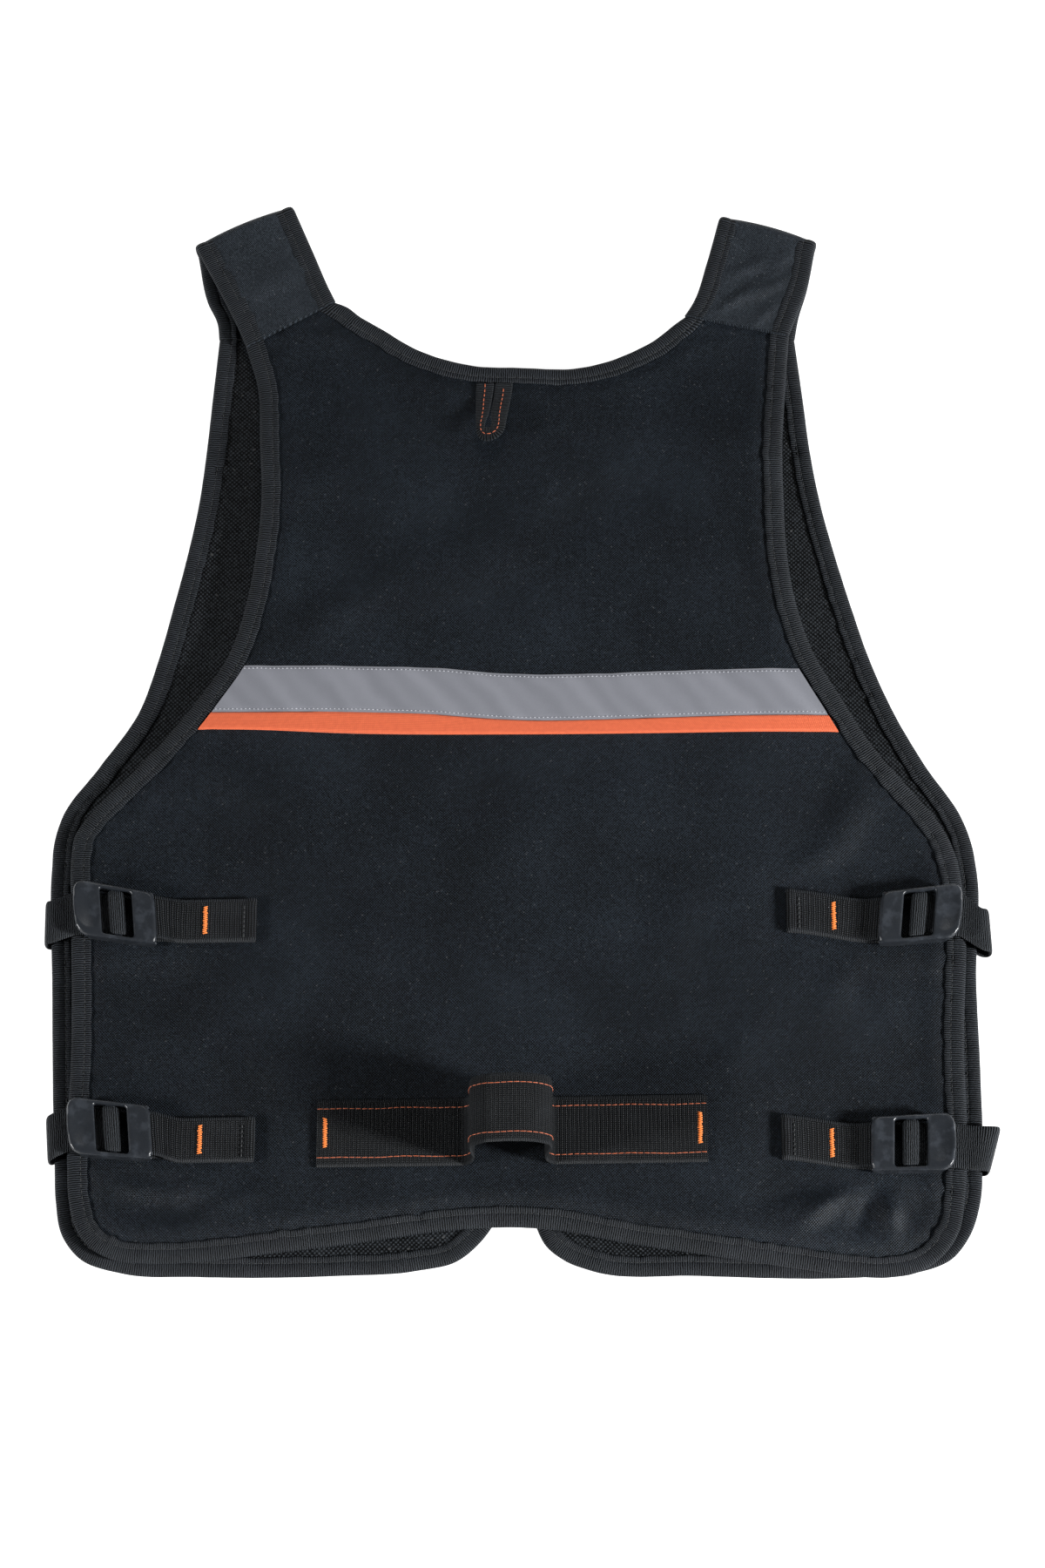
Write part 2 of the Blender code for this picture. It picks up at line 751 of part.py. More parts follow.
def band_rows(panel):
    """Plan rows of the top, middle and bottom edges of the two shoulder bands."""
    armhole = [point for point in panel.inner if up(0.45) < point.y < up(0.62)]
    left_side = sorted((p.y, p.x) for p in armhole if p.x < 0)
    right_side = sorted((p.y, p.x) for p in armhole if p.x > 0)

    def end_at(side, y):
        for (y0, x0), (y1, x1) in zip(side, side[1:]):
            if y0 <= y <= y1:
                return mix(x0, x1, (y - y0) / (y1 - y0))
        return side[-1][1]

    rows = []
    drop = 0.0
    for width in (0.0, REFLECTIVE_WIDTH, CLEARANCE, ORANGE_WIDTH):
        drop += width
        level = up(BAND_TOP_UP) - drop
        left = end_at(left_side, level) + BAND_END_GAP
        right = end_at(right_side, level) - BAND_END_GAP
        row = []
        for index in range(BAND_COLUMNS + 1):
            share = index / BAND_COLUMNS
            x = mix(left, right, share)
            sag = BAND_DIP * (1 - (2 * share - 1) ** 2)
            row.append(Vector((x, level - sag)))
        rows.append(row)
    return rows


def tool_line(x):
    """Middle line of the tool webbing."""
    return up(TOOL_MIDDLE_UP) + TOOL_TILT * x


def tool_rows():
    upper = []
    lower = []
    for x in (TOOL_LEFT, LOOP_LEFT, LOOP_RIGHT, TOOL_RIGHT):
        upper.append(Vector((x, tool_line(x) + TOOL_WEBBING_WIDTH / 2)))
        lower.append(Vector((x, tool_line(x) - TOOL_WEBBING_WIDTH / 2)))
    return lower, upper


def grid_points(spacing):
    points = []
    rows = int(VEST_LENGTH / spacing) + 2
    columns = int(2.2 * HALF_WIDTH / spacing) + 2
    for row in range(rows):
        y = up(0) + row * spacing
        shift = spacing / 2 if row % 2 else 0
        for column in range(columns):
            points.append((-1.1 * HALF_WIDTH + shift + column * spacing, y))
    return points


def fold_points():
    points = []
    for middle_x, middle_y, angle, length, half_width in (row[:5] for row in FOLDS):
        run = Vector((math.cos(math.radians(angle)), math.sin(math.radians(angle))))
        beside = Vector((-run.y, run.x))
        middle = Vector((across(middle_x), up(middle_y)))
        for step in (-0.9, -0.45, 0.0, 0.45, 0.9):
            for offset in (0.0, -0.5, 0.5, -1.0, 1.0):
                point = middle + run * (step * length / 2) + beside * (offset * half_width)
                points.append(tuple(point))
    return points


def set_ground(row, start, depth):
    """Corners of the flat ground of a webbing set and the points round it."""
    side = math.copysign(1.0, row["edge"])
    middle = up(row["up"])
    half = WEBBING_WIDTH / 2 + SET_MARGIN
    deep = depth + SET_MARGIN
    near = BINDING_WIDTH + GROUND_EDGE
    points = []
    for offset in (half, half + SET_FADE / 2, half + SET_FADE):
        for sign in (-1, 1):
            for column in range(GROUND_COLUMNS + 1):
                x = start - side * mix(near, deep, column / GROUND_COLUMNS)
                points.append((x, middle + sign * offset))
    for extra in (SET_FADE / 2, SET_FADE):
        for offset in (-half, 0.0, half):
            points.append((start - side * (deep + extra), middle + offset))
    corners = []
    for share, sign in ((0, -1), (1, -1), (1, 1), (0, 1)):
        corners.append((start - side * mix(near, deep, share), middle + sign * half))
    return corners, points


def ring_outline(stretches):
    outline = []
    for stretch in stretches:
        outline += [Vector(point) for point in stretch]
    return outline


def make_back_panel():
    body = back_outline()
    neck = neck_outline()
    left = strap_tongue("left")
    right = strap_tongue("right")
    outline = ring_outline((body.edge, right, reversed(neck.edge), reversed(left)))
    plan = Plan()
    plan.line(outline, closed=True)
    plan.strip(body.edge, body.inner)
    plan.strip(neck.edge, neck.inner)
    bands = band_rows(body)
    plan.strip(bands[0], bands[1])
    plan.strip(bands[2], bands[3])
    tool_low, tool_high = tool_rows()
    plan.strip(tool_low, tool_high)
    covered = [ring_outline((bands[0], reversed(bands[3]))),
               ring_outline((tool_low, reversed(tool_high)))]
    around_sets = []
    for row in SETS.values():
        corners, points = set_ground(row, across(row["edge"]), row["tab_end"])
        plan.line(corners, closed=True)
        covered.append(corners)
        around_sets += points
    interior = ring_outline((body.inner, reversed(neck.inner)))
    inner_only = [point for point in around_sets + fold_points() + grid_points(BACK_GRID)
                  if inside(Vector(point), interior)]
    plan.scatter(inner_only, covered, BACK_GRID_CLEAR)
    vertices, faces = plan.solid(back_top, PANEL_WALL, outline)
    make_object("back_panel", vertices, faces, "shell_cloth")
    make_object("back_binding", *binding(body.stations(PANEL_WALL), PANEL_WALL), "grosgrain")
    make_object("neck_binding", *binding(neck.stations(PANEL_WALL), PANEL_WALL), "grosgrain")
    make_object("reflective_tape", *over_cloth(bands[0], bands[1], back_top, CLEARANCE,
                                               BAND_WALL), "reflective")
    make_object("orange_tape", *over_cloth(bands[2], bands[3], back_top, CLEARANCE,
                                           BAND_WALL), "orange")


def make_front_panel(side):
    column = 1 if side == "left" else 2
    turn = 1 if side == "left" else -1
    path = [Vector((across(row[column]), up(row[0]))) for row in FRONT_EDGES]
    path[0] = path[0] - Vector((0, SEAM_GAP))
    bound = Bound(path, turn, front_top, Vector((turn, 0)))
    free = [Vector((across(row[column]), up(row[0]))) for row in FRONT_INNER]
    free[-1] = free[-1] - Vector((0, SEAM_GAP))
    outline = ring_outline((bound.edge, free))
    plan = Plan()
    plan.line(outline, closed=True)
    plan.strip(bound.edge, bound.inner)
    covered = []
    around_sets = []
    for name, row in SETS.items():
        if name.endswith(side):
            depth = UNDER_STRAP_LENGTH + SET_MARGIN
            corners, points = set_ground(row, across(row["front"]), depth)
            plan.line(corners, closed=True)
            covered.append(corners)
            around_sets += points
    interior = ring_outline((bound.inner, free))
    loose = [point for point in around_sets + grid_points(FRONT_GRID)
             if inside(Vector(point), interior)]
    plan.scatter(loose, covered, FRONT_GRID_CLEAR)
    vertices, faces = plan.solid(front_top, PANEL_WALL, outline)
    make_object("front_panel_" + side, vertices, faces, "shell_cloth")
    stations = bound.stations(PANEL_WALL)
    make_object("front_binding_" + side, *binding(stations, PANEL_WALL), "grosgrain")


def strap_stations(side):
    """Stations of a folded strap, from the back seam over the fold to the front seam."""
    rows = STRAPS[side]
    radius = (STRAP_HIGH - STRAP_LOW) / 2
    middle = (STRAP_HIGH + STRAP_LOW) / 2
    fold_outer = Vector((across(rows["fold"][0]), up(rows["fold"][1]), 0))
    fold_inner = Vector((across(rows["fold"][2]), up(rows["fold"][3]), 0))
    along = (fold_inner - fold_outer).normalized()
    away = Vector((-along.y, along.x, 0))
    if away.y < 0:
        away = -away
    back_off = radius + STRAP_WALL / 2 + BINDING_STEP
    axis_outer = fold_outer - away * back_off + along * BINDING_STEP
    axis_inner = fold_inner - away * back_off - along * BINDING_STEP

    def flat(row, level):
        outer = Vector((across(row[0]), up(row[1]), level))
        inner = Vector((across(row[2]), up(row[3]), level))
        run = (inner - outer).normalized()
        return outer + run * BINDING_STEP, inner - run * BINDING_STEP

    stations = []
    for row in rows["upper"]:
        outer, inner = flat(row, STRAP_HIGH)
        stations.append((outer, inner, Vector((0, 0, 1))))
    for step in range(STRAP_FOLD_STEPS + 1):
        angle = math.pi * step / STRAP_FOLD_STEPS
        normal = away * math.sin(angle) + Vector((0, 0, math.cos(angle)))
        shift = away * (radius * math.sin(angle))
        height = Vector((0, 0, middle + radius * math.cos(angle)))
        stations.append((axis_outer + shift + height, axis_inner + shift + height, normal))
    for row in rows["lower"]:
        outer, inner = flat(row, STRAP_LOW)
        stations.append((outer, inner, Vector((0, 0, -1))))
    return stations


def make_strap(side):
    stations = strap_stations(side)
    sections = []
    outer_rows = []
    inner_rows = []
    for outer, inner, normal in stations:
        run = (inner - outer).normalized()
        outer_leg = outer + run * BINDING_LEG
        inner_leg = inner - run * BINDING_LEG
        half = normal * (STRAP_WALL / 2)
        top = [outer + half, outer_leg + half, inner_leg + half, inner + half]
        bottom = [inner - half, inner_leg - half, outer_leg - half, outer - half]
        sections.append(tuple(top + bottom))
        outer_rows.append((outer, outer_leg, normal))
        inner_rows.append((inner, inner_leg, normal))
    make_object("shoulder_strap_" + side, *sweep(sections), "strap_cloth")
    for place, rows in (("outer", outer_rows), ("inner", inner_rows)):
        name = "strap_binding_" + place + "_" + side
        make_object(name, *binding(rows, STRAP_WALL), "grosgrain")


def make_closure():
    """Plain strip on the inner faces of the front panels."""
    left = []
    right = []
    for step in range(CLOSURE_STEPS + 1):
        y = mix(up(CLOSURE_BOTTOM_UP), up(CLOSURE_TOP_UP), step / CLOSURE_STEPS)
        left.append(Vector((-CLOSURE_WIDTH / 2, y)))
        right.append(Vector((CLOSURE_WIDTH / 2, y)))
    shape = over_cloth(left, right, front_top, CLEARANCE, CLOSURE_WALL)
    make_object("front_closure", *shape, "webbing")


def make_hang_loop():
    """Narrow tape from the neck binding down, round and up again beside itself."""
    top = up(HANG_TOP_UP) - BINDING_WIDTH - 2 * CLEARANCE
    turn_y = top - HANG_LENGTH + HANG_TAPE_WIDTH + HANG_SLIT / 2

    def height(x, y):
        share = min(max((top - y) / HANG_LENGTH, 0.0), 1.0)
        start = back_top(HANG_MIDDLE, top) + 2 * CLEARANCE
        end = back_top(HANG_MIDDLE, top - HANG_LENGTH) + HANG_LIFT
        return mix(start, end, share) + HANG_WALL / 2

    plan_rows = []
    inner_radius = HANG_SLIT / 2
    outer_radius = inner_radius + HANG_TAPE_WIDTH
    plan_rows.append(((-outer_radius, top), (-inner_radius, top)))
    for step in range(HANG_TURNS + 1):
        angle = math.pi + math.pi * step / HANG_TURNS
        plan_rows.append((
            (outer_radius * math.cos(angle), turn_y + outer_radius * math.sin(angle)),
            (inner_radius * math.cos(angle), turn_y + inner_radius * math.sin(angle)),
        ))
    plan_rows.append(((outer_radius, top), (inner_radius, top)))
    stations = []
    for (outer_x, outer_y), (inner_x, inner_y) in plan_rows:
        outer = Vector((HANG_MIDDLE + outer_x, outer_y, height(outer_x, outer_y)))
        inner = Vector((HANG_MIDDLE + inner_x, inner_y, height(inner_x, inner_y)))
        stations.append((outer, inner, Vector((0, 0, 1))))
    make_object("hang_loop", *ribbon(stations, HANG_WALL), "webbing")


def make_tool_webbing():
    """Wide webbing sewn flat at both sides of one raised loop."""
    wall = TOOL_WEBBING_WALL
    ground = back_top(0.0, tool_line(0.0)) + CLEARANCE + wall / 2
    crest = ground + LOOP_HEIGHT
    bend = LOOP_BEND
    path = [(TOOL_LEFT, ground, 90), (LOOP_LEFT - LOOP_FOOT, ground, 90)]
    path += [(LOOP_LEFT, ground + LOOP_FOOT, 178)]
    for angle in (180, 150, 120):
        turn = math.radians(angle)
        path.append((LOOP_LEFT + bend + bend * math.cos(turn) + LOOP_LEAN,
                     crest - bend + bend * math.sin(turn), angle))
    shoulder = path[-1][1]
    half = (LOOP_RIGHT - LOOP_LEFT) / 2
    for share in LOOP_BOW:
        tilt = math.degrees(math.atan(2 * LOOP_ARCH * share / half))
        path.append(((LOOP_LEFT + LOOP_RIGHT) / 2 + share * half,
                     shoulder + LOOP_ARCH * (1 - share ** 2), 90 - tilt))
    for angle in (60, 30, 0):
        turn = math.radians(angle)
        path.append((LOOP_RIGHT - bend + bend * math.cos(turn),
                     crest - bend + bend * math.sin(turn), angle))
    path += [(LOOP_RIGHT, ground + LOOP_FOOT, 2)]
    path += [(LOOP_RIGHT + LOOP_FOOT, ground, 90), (TOOL_RIGHT, ground, 90)]
    stations = []
    for x, z, angle in path:
        middle = tool_line(x)
        lower = Vector((x, middle - TOOL_WEBBING_WIDTH / 2, z))
        upper = Vector((x, middle + TOOL_WEBBING_WIDTH / 2, z))
        turn = math.radians(angle)
        stations.append((lower, upper, Vector((math.cos(turn), 0, math.sin(turn)))))
    make_object("tool_webbing", *ribbon(stations, wall), "webbing")


def path_normals(path):
    """Left-hand normals of a path of two-dimensional points."""
    normals = []
    for index, point in enumerate(path):
        before = path[max(index - 1, 0)]
        after = path[min(index + 1, len(path) - 1)]
        run = (Vector(after) - Vector(before)).normalized()
        normals.append(Vector((-run.y, run.x)))
    return normals


class SideSet:
    """One webbing set, with places given inwards from the edge, along Y and above the cloth."""

    def __init__(self, row):
        self.row = row
        self.side = math.copysign(1.0, row["edge"])
        self.edge = across(row["edge"])
        self.middle = up(row["up"])
        self.front = abs(across(row["front"])) - abs(self.edge)
        self.angle = math.radians(row["turn"])
        self.pivot = row["buckle"] + BUCKLE_LENGTH / 2

    def level(self, inwards, above):
        return BACK_EDGE_TOP + STRAP_RISE + PLATE_SLOPE * max(inwards, 0.0) + above

    def turned(self, inwards, beside, amount):
        """Plan place of a point that turns with the buckle by a share of its angle."""
        angle = self.angle * amount
        along = inwards - self.pivot
        limit = BUCKLE_LENGTH / 2
        inner = min(max(along, -limit), limit)
        drop = -math.sin(self.angle) * inner
        x = self.pivot + inner * math.cos(self.angle) + (along - inner)
        return x - beside * math.sin(angle), drop + beside * math.cos(angle)

    def place(self, inwards, beside, height, amount=1.0, drift=0.0):
        x, y = self.turned(inwards, beside, amount)
        return Vector((self.edge - self.side * x, self.middle + y + drift, height))

    def share(self, inwards):
        """How far the webbing at this place turns with the buckle."""
        along = inwards - self.pivot
        start = BUCKLE_LENGTH / 2 - (DRIFT_START if along < 0 else -CLEARANCE)
        run = BEND_RUN if along < 0 else self.row["tab_run"]
        return 1 - smooth_step((abs(along) - start) / run)

    def drift(self, inwards):
        """Sideways way of the webbing outside the buckle, to its sewn end or its bend."""
        along = inwards - self.pivot
        target = self.row["tab_off"] if along > 0 else self.row["bend_off"]
        held = -math.sin(self.angle) * math.copysign(BUCKLE_LENGTH / 2, along)
        return (target - held) * (1 - self.share(inwards))

    def webbing(self, path, reach=None):
        """Stations of 25 mm webbing along a path of inward places and heights."""
        stations = []
        for index, ((inwards, height), normal) in enumerate(zip(path, path_normals(path))):
            amount = self.share(inwards)
            skew = reach[index] if reach else 0.0
            half = WEBBING_WIDTH / 2
            drift = self.drift(inwards)
            left = self.place(inwards, -half, height, amount, drift)
            right = self.place(inwards, half, height, amount, drift)
            right.x += self.side * skew
            facing = Vector((-self.side * normal.x, 0, normal.y))
            stations.append((left, right, facing))
        return stations


def make_buckle_tab(name, row):
    """Webbing sewn to the back, folded round the buckle's low bar and back on itself."""
    ground = SideSet(row)
    bar = row["buckle"] + LOW_BAR[0] * BUCKLE_LENGTH
    bar_above = BUCKLE_BASE + LOW_BAR[1] * BUCKLE_HEIGHT
    radius = BAR_RADIUS + CLEARANCE + WEBBING_WALL / 2
    lower = CLEARANCE + WEBBING_WALL / 2
    upper = lower + WEBBING_WALL + CLEARANCE
    end = row["tab_end"]
    path = [(end, lower), (bar + TAB_LEVEL, lower), (bar + 4 * radius, lower + radius / 5)]
    for angle in (-90, -130, -180, -230, -270):
        turn = math.radians(angle)
        path.append((bar + radius * math.cos(turn), bar_above + radius * math.sin(turn)))
    path += [(bar + 2 * radius, bar_above + radius * 0.84),
             (bar + 4.4 * radius, upper + TAB_SWELL),
             (bar + TAB_LEVEL, upper), (end, upper)]
    heights = [(inwards, ground.level(inwards, above)) for inwards, above in path]
    make_object("buckle_tab_" + name, *ribbon(ground.webbing(heights), WEBBING_WALL), "webbing")


def make_side_strap(name, row):
    """Webbing from the buckle's centre bar round the side edge and under the front."""
    ground = SideSet(row)
    half = WEBBING_WALL / 2
    over_edge = BINDING_STEP + CLEARANCE + half
    path = []
    for along, above in STRAP_OVER_BAR:
        inwards = row["buckle"] + along * BUCKLE_LENGTH
        path.append((inwards, ground.level(inwards, BUCKLE_BASE + above * BUCKLE_HEIGHT)))
    path.append((BINDING_WIDTH, ground.level(0, over_edge + STRAP_BULGE)))
    path.append((0.0, ground.level(0, over_edge)))
    reach_down = row["reach_down"]
    turn_at = -(ground.front + reach_down - half)
    top = ground.level(0, over_edge)
    bottom = half
    corner = min(TURN_CORNER, (top - bottom) / 3)
    near = corner * 0.3
    turn_start = len(path)
    path += [(turn_at + corner, top), (turn_at + near, top - near),
             (turn_at, top - corner), (turn_at, bottom + corner),
             (turn_at + near, bottom + near), (turn_at + corner, bottom)]
    turn_end = len(path)
    path.append((UNDER_STRAP_LENGTH - ground.front, bottom))
    skew = row["reach_up"] - reach_down
    reach = [0.0] * len(path)
    for index in range(turn_start, turn_end):
        reach[index] = skew
    stations = ground.webbing(path, reach)
    swapped = [(right, left, normal) for left, right, normal in stations]
    make_object("side_strap_" + name, *ribbon(swapped, WEBBING_WALL), "webbing")


def buckle_shape():
    """Vertices and faces of a ladder-lock buckle: u along it, v across, w up."""
    def sized(outline):
        return [(u * BUCKLE_LENGTH, w * BUCKLE_HEIGHT) for u, w in outline]

    wall = sized(BUCKLE_SIDE)
    members = [sized(BUCKLE_THUMB_PLATE), sized(BUCKLE_CENTRE_BAR), sized(BUCKLE_INNER_PLATE)]
    low_bar = []
    for step in range(6):
        angle = math.pi / 3 * step + math.pi / 6
        low_bar.append((LOW_BAR[0] * BUCKLE_LENGTH + BAR_RADIUS * math.cos(angle),
                        LOW_BAR[1] * BUCKLE_HEIGHT + BAR_RADIUS * math.sin(angle)))
    members.append(low_bar)
    half = BUCKLE_WIDTH / 2
    inner = half - BUCKLE_RAIL
    vertices = []
    faces = []

    def column(outline, v):
        first = len(vertices)
        vertices.extend((u, v, w) for u, w in outline)
        return list(range(first, first + len(outline)))

    def join(a, b):
        count = len(a)
        for index in range(count):
            after = (index + 1) % count
            faces.append((a[index], a[after], b[after]))
            faces.append((a[index], b[after], b[index]))

    member_columns = [-inner, -inner * 0.4, inner * 0.4, inner]
    holes = {}
    for number, member in enumerate(members):
        rings = [column(member, v) for v in member_columns]
        for first, second in zip(rings, rings[1:]):
            join(first, second)
        holes[(-inner, number)] = rings[0]
        holes[(inner, number)] = rings[-1]
    for sign in (-1, 1):
        outer_ring = column(wall, sign * half)
        inner_ring = column(wall, sign * inner)
        join(outer_ring, inner_ring)
        for a, b, c in fill([wall]):
            faces.append((outer_ring[a], outer_ring[b], outer_ring[c]))
        numbering = list(inner_ring)
        for number in range(len(members)):
            numbering += holes[(sign * inner, number)]
        for a, b, c in fill([wall] + members):
            faces.append((numbering[a], numbering[b], numbering[c]))
    rounded = []
    for u, v, w in vertices:
        share = abs(v) / half
        along = u / BUCKLE_LENGTH
        outer_round = CORNER_ROUND * share ** 3 * max(0.0, 1 - along / CORNER_REACH)
        outer_face = abs(v) > inner + CLEARANCE
        narrow = 1.0 - NARROWING * along if outer_face else 1.0
        dished = along < DISH_LENGTH and w > BUCKLE_HEIGHT * (1 - DISH_SKIN)
        dish = DISH_DEPTH * BUCKLE_HEIGHT * (1 - share ** 2) if dished else 0.0
        rounded.append((u + outer_round * BUCKLE_LENGTH, v * narrow, w - dish))
    return rounded, faces


def fill(outlines):
    """Triangles of the first outline with the others as holes."""
    points = []
    links = []
    for outline in outlines:
        first = len(points)
        points += [Vector(point) for point in outline]
        count = len(outline)
        links += [(first + index, first + (index + 1) % count) for index in range(count)]
    result = delaunay_2d_cdt(points, links, [], 1, 1e-7)
    kept = []
    for face in result[2]:
        names = [result[3][index][0] for index in face]
        middle = sum((points[name] for name in names), Vector((0, 0))) / 3
        if any(inside(middle, outline) for outline in outlines[1:]):
            continue
        if inside(middle, outlines[0]):
            kept.append(tuple(names))
    return kept


def make_buckle(name, row):
    ground = SideSet(row)
    shape, faces = buckle_shape()
    vertices = []
    for u, v, w in shape:
        inwards = row["buckle"] + u
        height = ground.level(inwards, BUCKLE_BASE + w)
        vertices.append(ground.place(inwards, v, height))
    make_object("buckle_" + name, vertices, faces, "buckle_plastic")


def settle_on_floor():
    """Put the middle of the bounding box over the origin and the lowest point on the floor."""
    pieces = [piece for piece in bpy.context.scene.objects if piece.type == "MESH"]
    corners = [vertex.co for piece in pieces for vertex in piece.data.vertices]
    low = [min(corner[axis] for corner in corners) for axis in range(3)]
    high = [max(corner[axis] for corner in corners) for axis in range(3)]
    shift = Vector((-(low[0] + high[0]) / 2, -(low[1] + high[1]) / 2, -low[2]))
    for piece in pieces:
        for vertex in piece.data.vertices:
            vertex.co += shift
        piece.data.update()


def build_vest():
    for leftover in list(bpy.data.objects):
        bpy.data.objects.remove(leftover, do_unlink=True)
    make_back_panel()
    for side in ("left", "right"):
        make_front_panel(side)
        make_strap(side)
    make_closure()
    make_hang_loop()
    make_tool_webbing()
    for name, row in SETS.items():
        make_buckle_tab(name, row)
        make_side_strap(name, row)
        make_buckle(name, row)
    settle_on_floor()


build_vest()
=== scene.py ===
"""Looks of the utility work vest: cloth, bindings, straps, webbing, stitches and buckles.

Metres, +Z up, collar towards +Y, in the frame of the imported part. Every piece is made
in the source's own coordinates, repeated here from its tables, and then moved onto the
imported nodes, which it replaces.
"""
import math

import bmesh
import bpy
import numpy as np
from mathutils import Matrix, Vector
from mathutils.geometry import delaunay_2d_cdt
from mathutils.kdtree import KDTree


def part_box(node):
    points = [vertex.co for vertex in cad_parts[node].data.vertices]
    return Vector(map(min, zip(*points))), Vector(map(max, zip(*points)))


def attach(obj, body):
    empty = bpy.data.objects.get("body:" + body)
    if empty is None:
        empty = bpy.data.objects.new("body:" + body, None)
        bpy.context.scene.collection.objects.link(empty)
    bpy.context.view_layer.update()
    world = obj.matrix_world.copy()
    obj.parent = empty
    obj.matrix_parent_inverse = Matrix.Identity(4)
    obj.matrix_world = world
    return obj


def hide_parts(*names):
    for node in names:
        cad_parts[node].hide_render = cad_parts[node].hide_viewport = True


MM = 0.001

# Sizes that the part's source gives
HALF_WIDTH = 250 * MM
VEST_LENGTH = 654 * MM
CLEARANCE = 0.3 * MM
SEAM_GAP = 0.5 * MM
PANEL_WALL = 2.0 * MM
STRAP_WALL = 2.0 * MM
TAPE_WALL = 0.8 * MM
BINDING_WIDTH = 11.0 * MM
DOME_RISE = 7.4 * MM
DOME_REACH = 135 * MM
HEM_REACH = 26 * MM
HEM_SHARE = 0.65
SHOULDER_REACH = 90 * MM
SHOULDER_UP = 0.857
WEBBING_WIDTH = 25 * MM
WEBBING_WALL = 1.4 * MM
UNDER_STRAP_LENGTH = 60 * MM
SET_MARGIN = 5 * MM
SET_FADE = 20 * MM
PLATE_SLOPE = 0.04
BUCKLE_LENGTH = 46.5 * MM
BUCKLE_HEIGHT = 8.8 * MM
BUCKLE_BASE = 1.4 * MM
BAR_RADIUS = 1.5 * MM
DRIFT_START = 2.5 * MM
BEND_RUN = 16.0 * MM
TAB_LEVEL = 16.0 * MM
TAB_SWELL = 1.2 * MM
TURN_CORNER = 3.0 * MM
REFLECTIVE_WIDTH = 28 * MM
ORANGE_WIDTH = 10 * MM
BAND_WALL = 1.0 * MM
BAND_TOP_UP = 0.5425
BAND_END_GAP = 1.5 * MM
TOOL_WEBBING_WIDTH = 38 * MM
TOOL_WEBBING_WALL = 1.6 * MM
TOOL_LEFT = -111 * MM
TOOL_RIGHT = 100 * MM
TOOL_MIDDLE_UP = 0.1215
TOOL_TILT = 0.015
LOOP_LEFT = -29 * MM
LOOP_RIGHT = 14.9 * MM
LOOP_HEIGHT = 39 * MM
LOOP_ARCH = 5.5 * MM
LOOP_BEND = 6 * MM
LOOP_FOOT = 2.5 * MM
LOOP_LEAN = 1.6 * MM
HANG_MIDDLE = -16.2 * MM
HANG_TAPE_WIDTH = 10.2 * MM
HANG_SLIT = 0.8 * MM
HANG_TOP_UP = 0.8367
HANG_LENGTH = 44 * MM
HANG_WALL = 1.2 * MM
HANG_LIFT = 7 * MM
CLOSURE_WIDTH = 28 * MM
CLOSURE_WALL = 1.5 * MM
CLOSURE_BOTTOM_UP = 0.092
CLOSURE_TOP_UP = 0.490

# Sizes that only the looks have
HANG_SWAY = 6.4 * MM         # how far the hang loop's end leans to the left
HANG_OPEN = 1.5 * MM         # how far its slit opens near the bottom
RUN_ON = 3.0 * MM            # how far a bound edge runs on under the strap's own tape
END_BLEND = 14 * MM          # over which a binding turns to the seam at its end
SEAM_DEPTH = 7.5 * MM        # from a binding's outer edge to its stitches
SEAM_HEIGHT = 1.62 * MM      # from the middle of the cloth to the stitches
STITCH_LENGTH = 2.3 * MM
STITCH_GAP = 0.9 * MM
THREAD_RADIUS = 0.22 * MM
PUCKER = 0.32                # how much the bindings swell along their inner half
TOOL_CLEAR = 18 * MM         # over which the fine folds fade beside the tool webbing
TACK_WIDTH = 2.3 * MM
TACK_LENGTH = 16 * MM        # of the bright tacks on the tabs
TACK_RADIUS = 0.36 * MM
TAB_HEM = 5.5 * MM           # how far from the tab's end its hem is folded
REACH_FADE = 8 * MM          # over which the side webbing leans to its turn
WEBBING_STEP = 1.2 * MM      # spacing of stations along the webbing
SEAM_STEP = 1.5 * MM
EDGE_STEP = 1.6 * MM
STRAP_STEP = 2.5 * MM
STRAP_PUFF = 0.9 * MM        # how high the straps are padded in their middle
STRAP_BOW = 1.7 * MM         # how far their fold bows out
STRAP_EDGE = 16 * MM         # over which their wrinkles fade to the bindings
TUCK_RUN = 26 * MM           # one tuck in a binding for each such length
TACK_STEP = 0.62 * MM

BINDING_STEP = CLEARANCE + TAPE_WALL
FRONT_TOP = BINDING_STEP + PANEL_WALL
BACK_EDGE_TOP = FRONT_TOP + BINDING_STEP + CLEARANCE + BINDING_STEP + PANEL_WALL
STRAP_RISE = WEBBING_WALL + CLEARANCE
STRAP_LOW = BINDING_STEP + STRAP_WALL / 2
STRAP_HIGH = BACK_EDGE_TOP + CLEARANCE + STRAP_WALL / 2

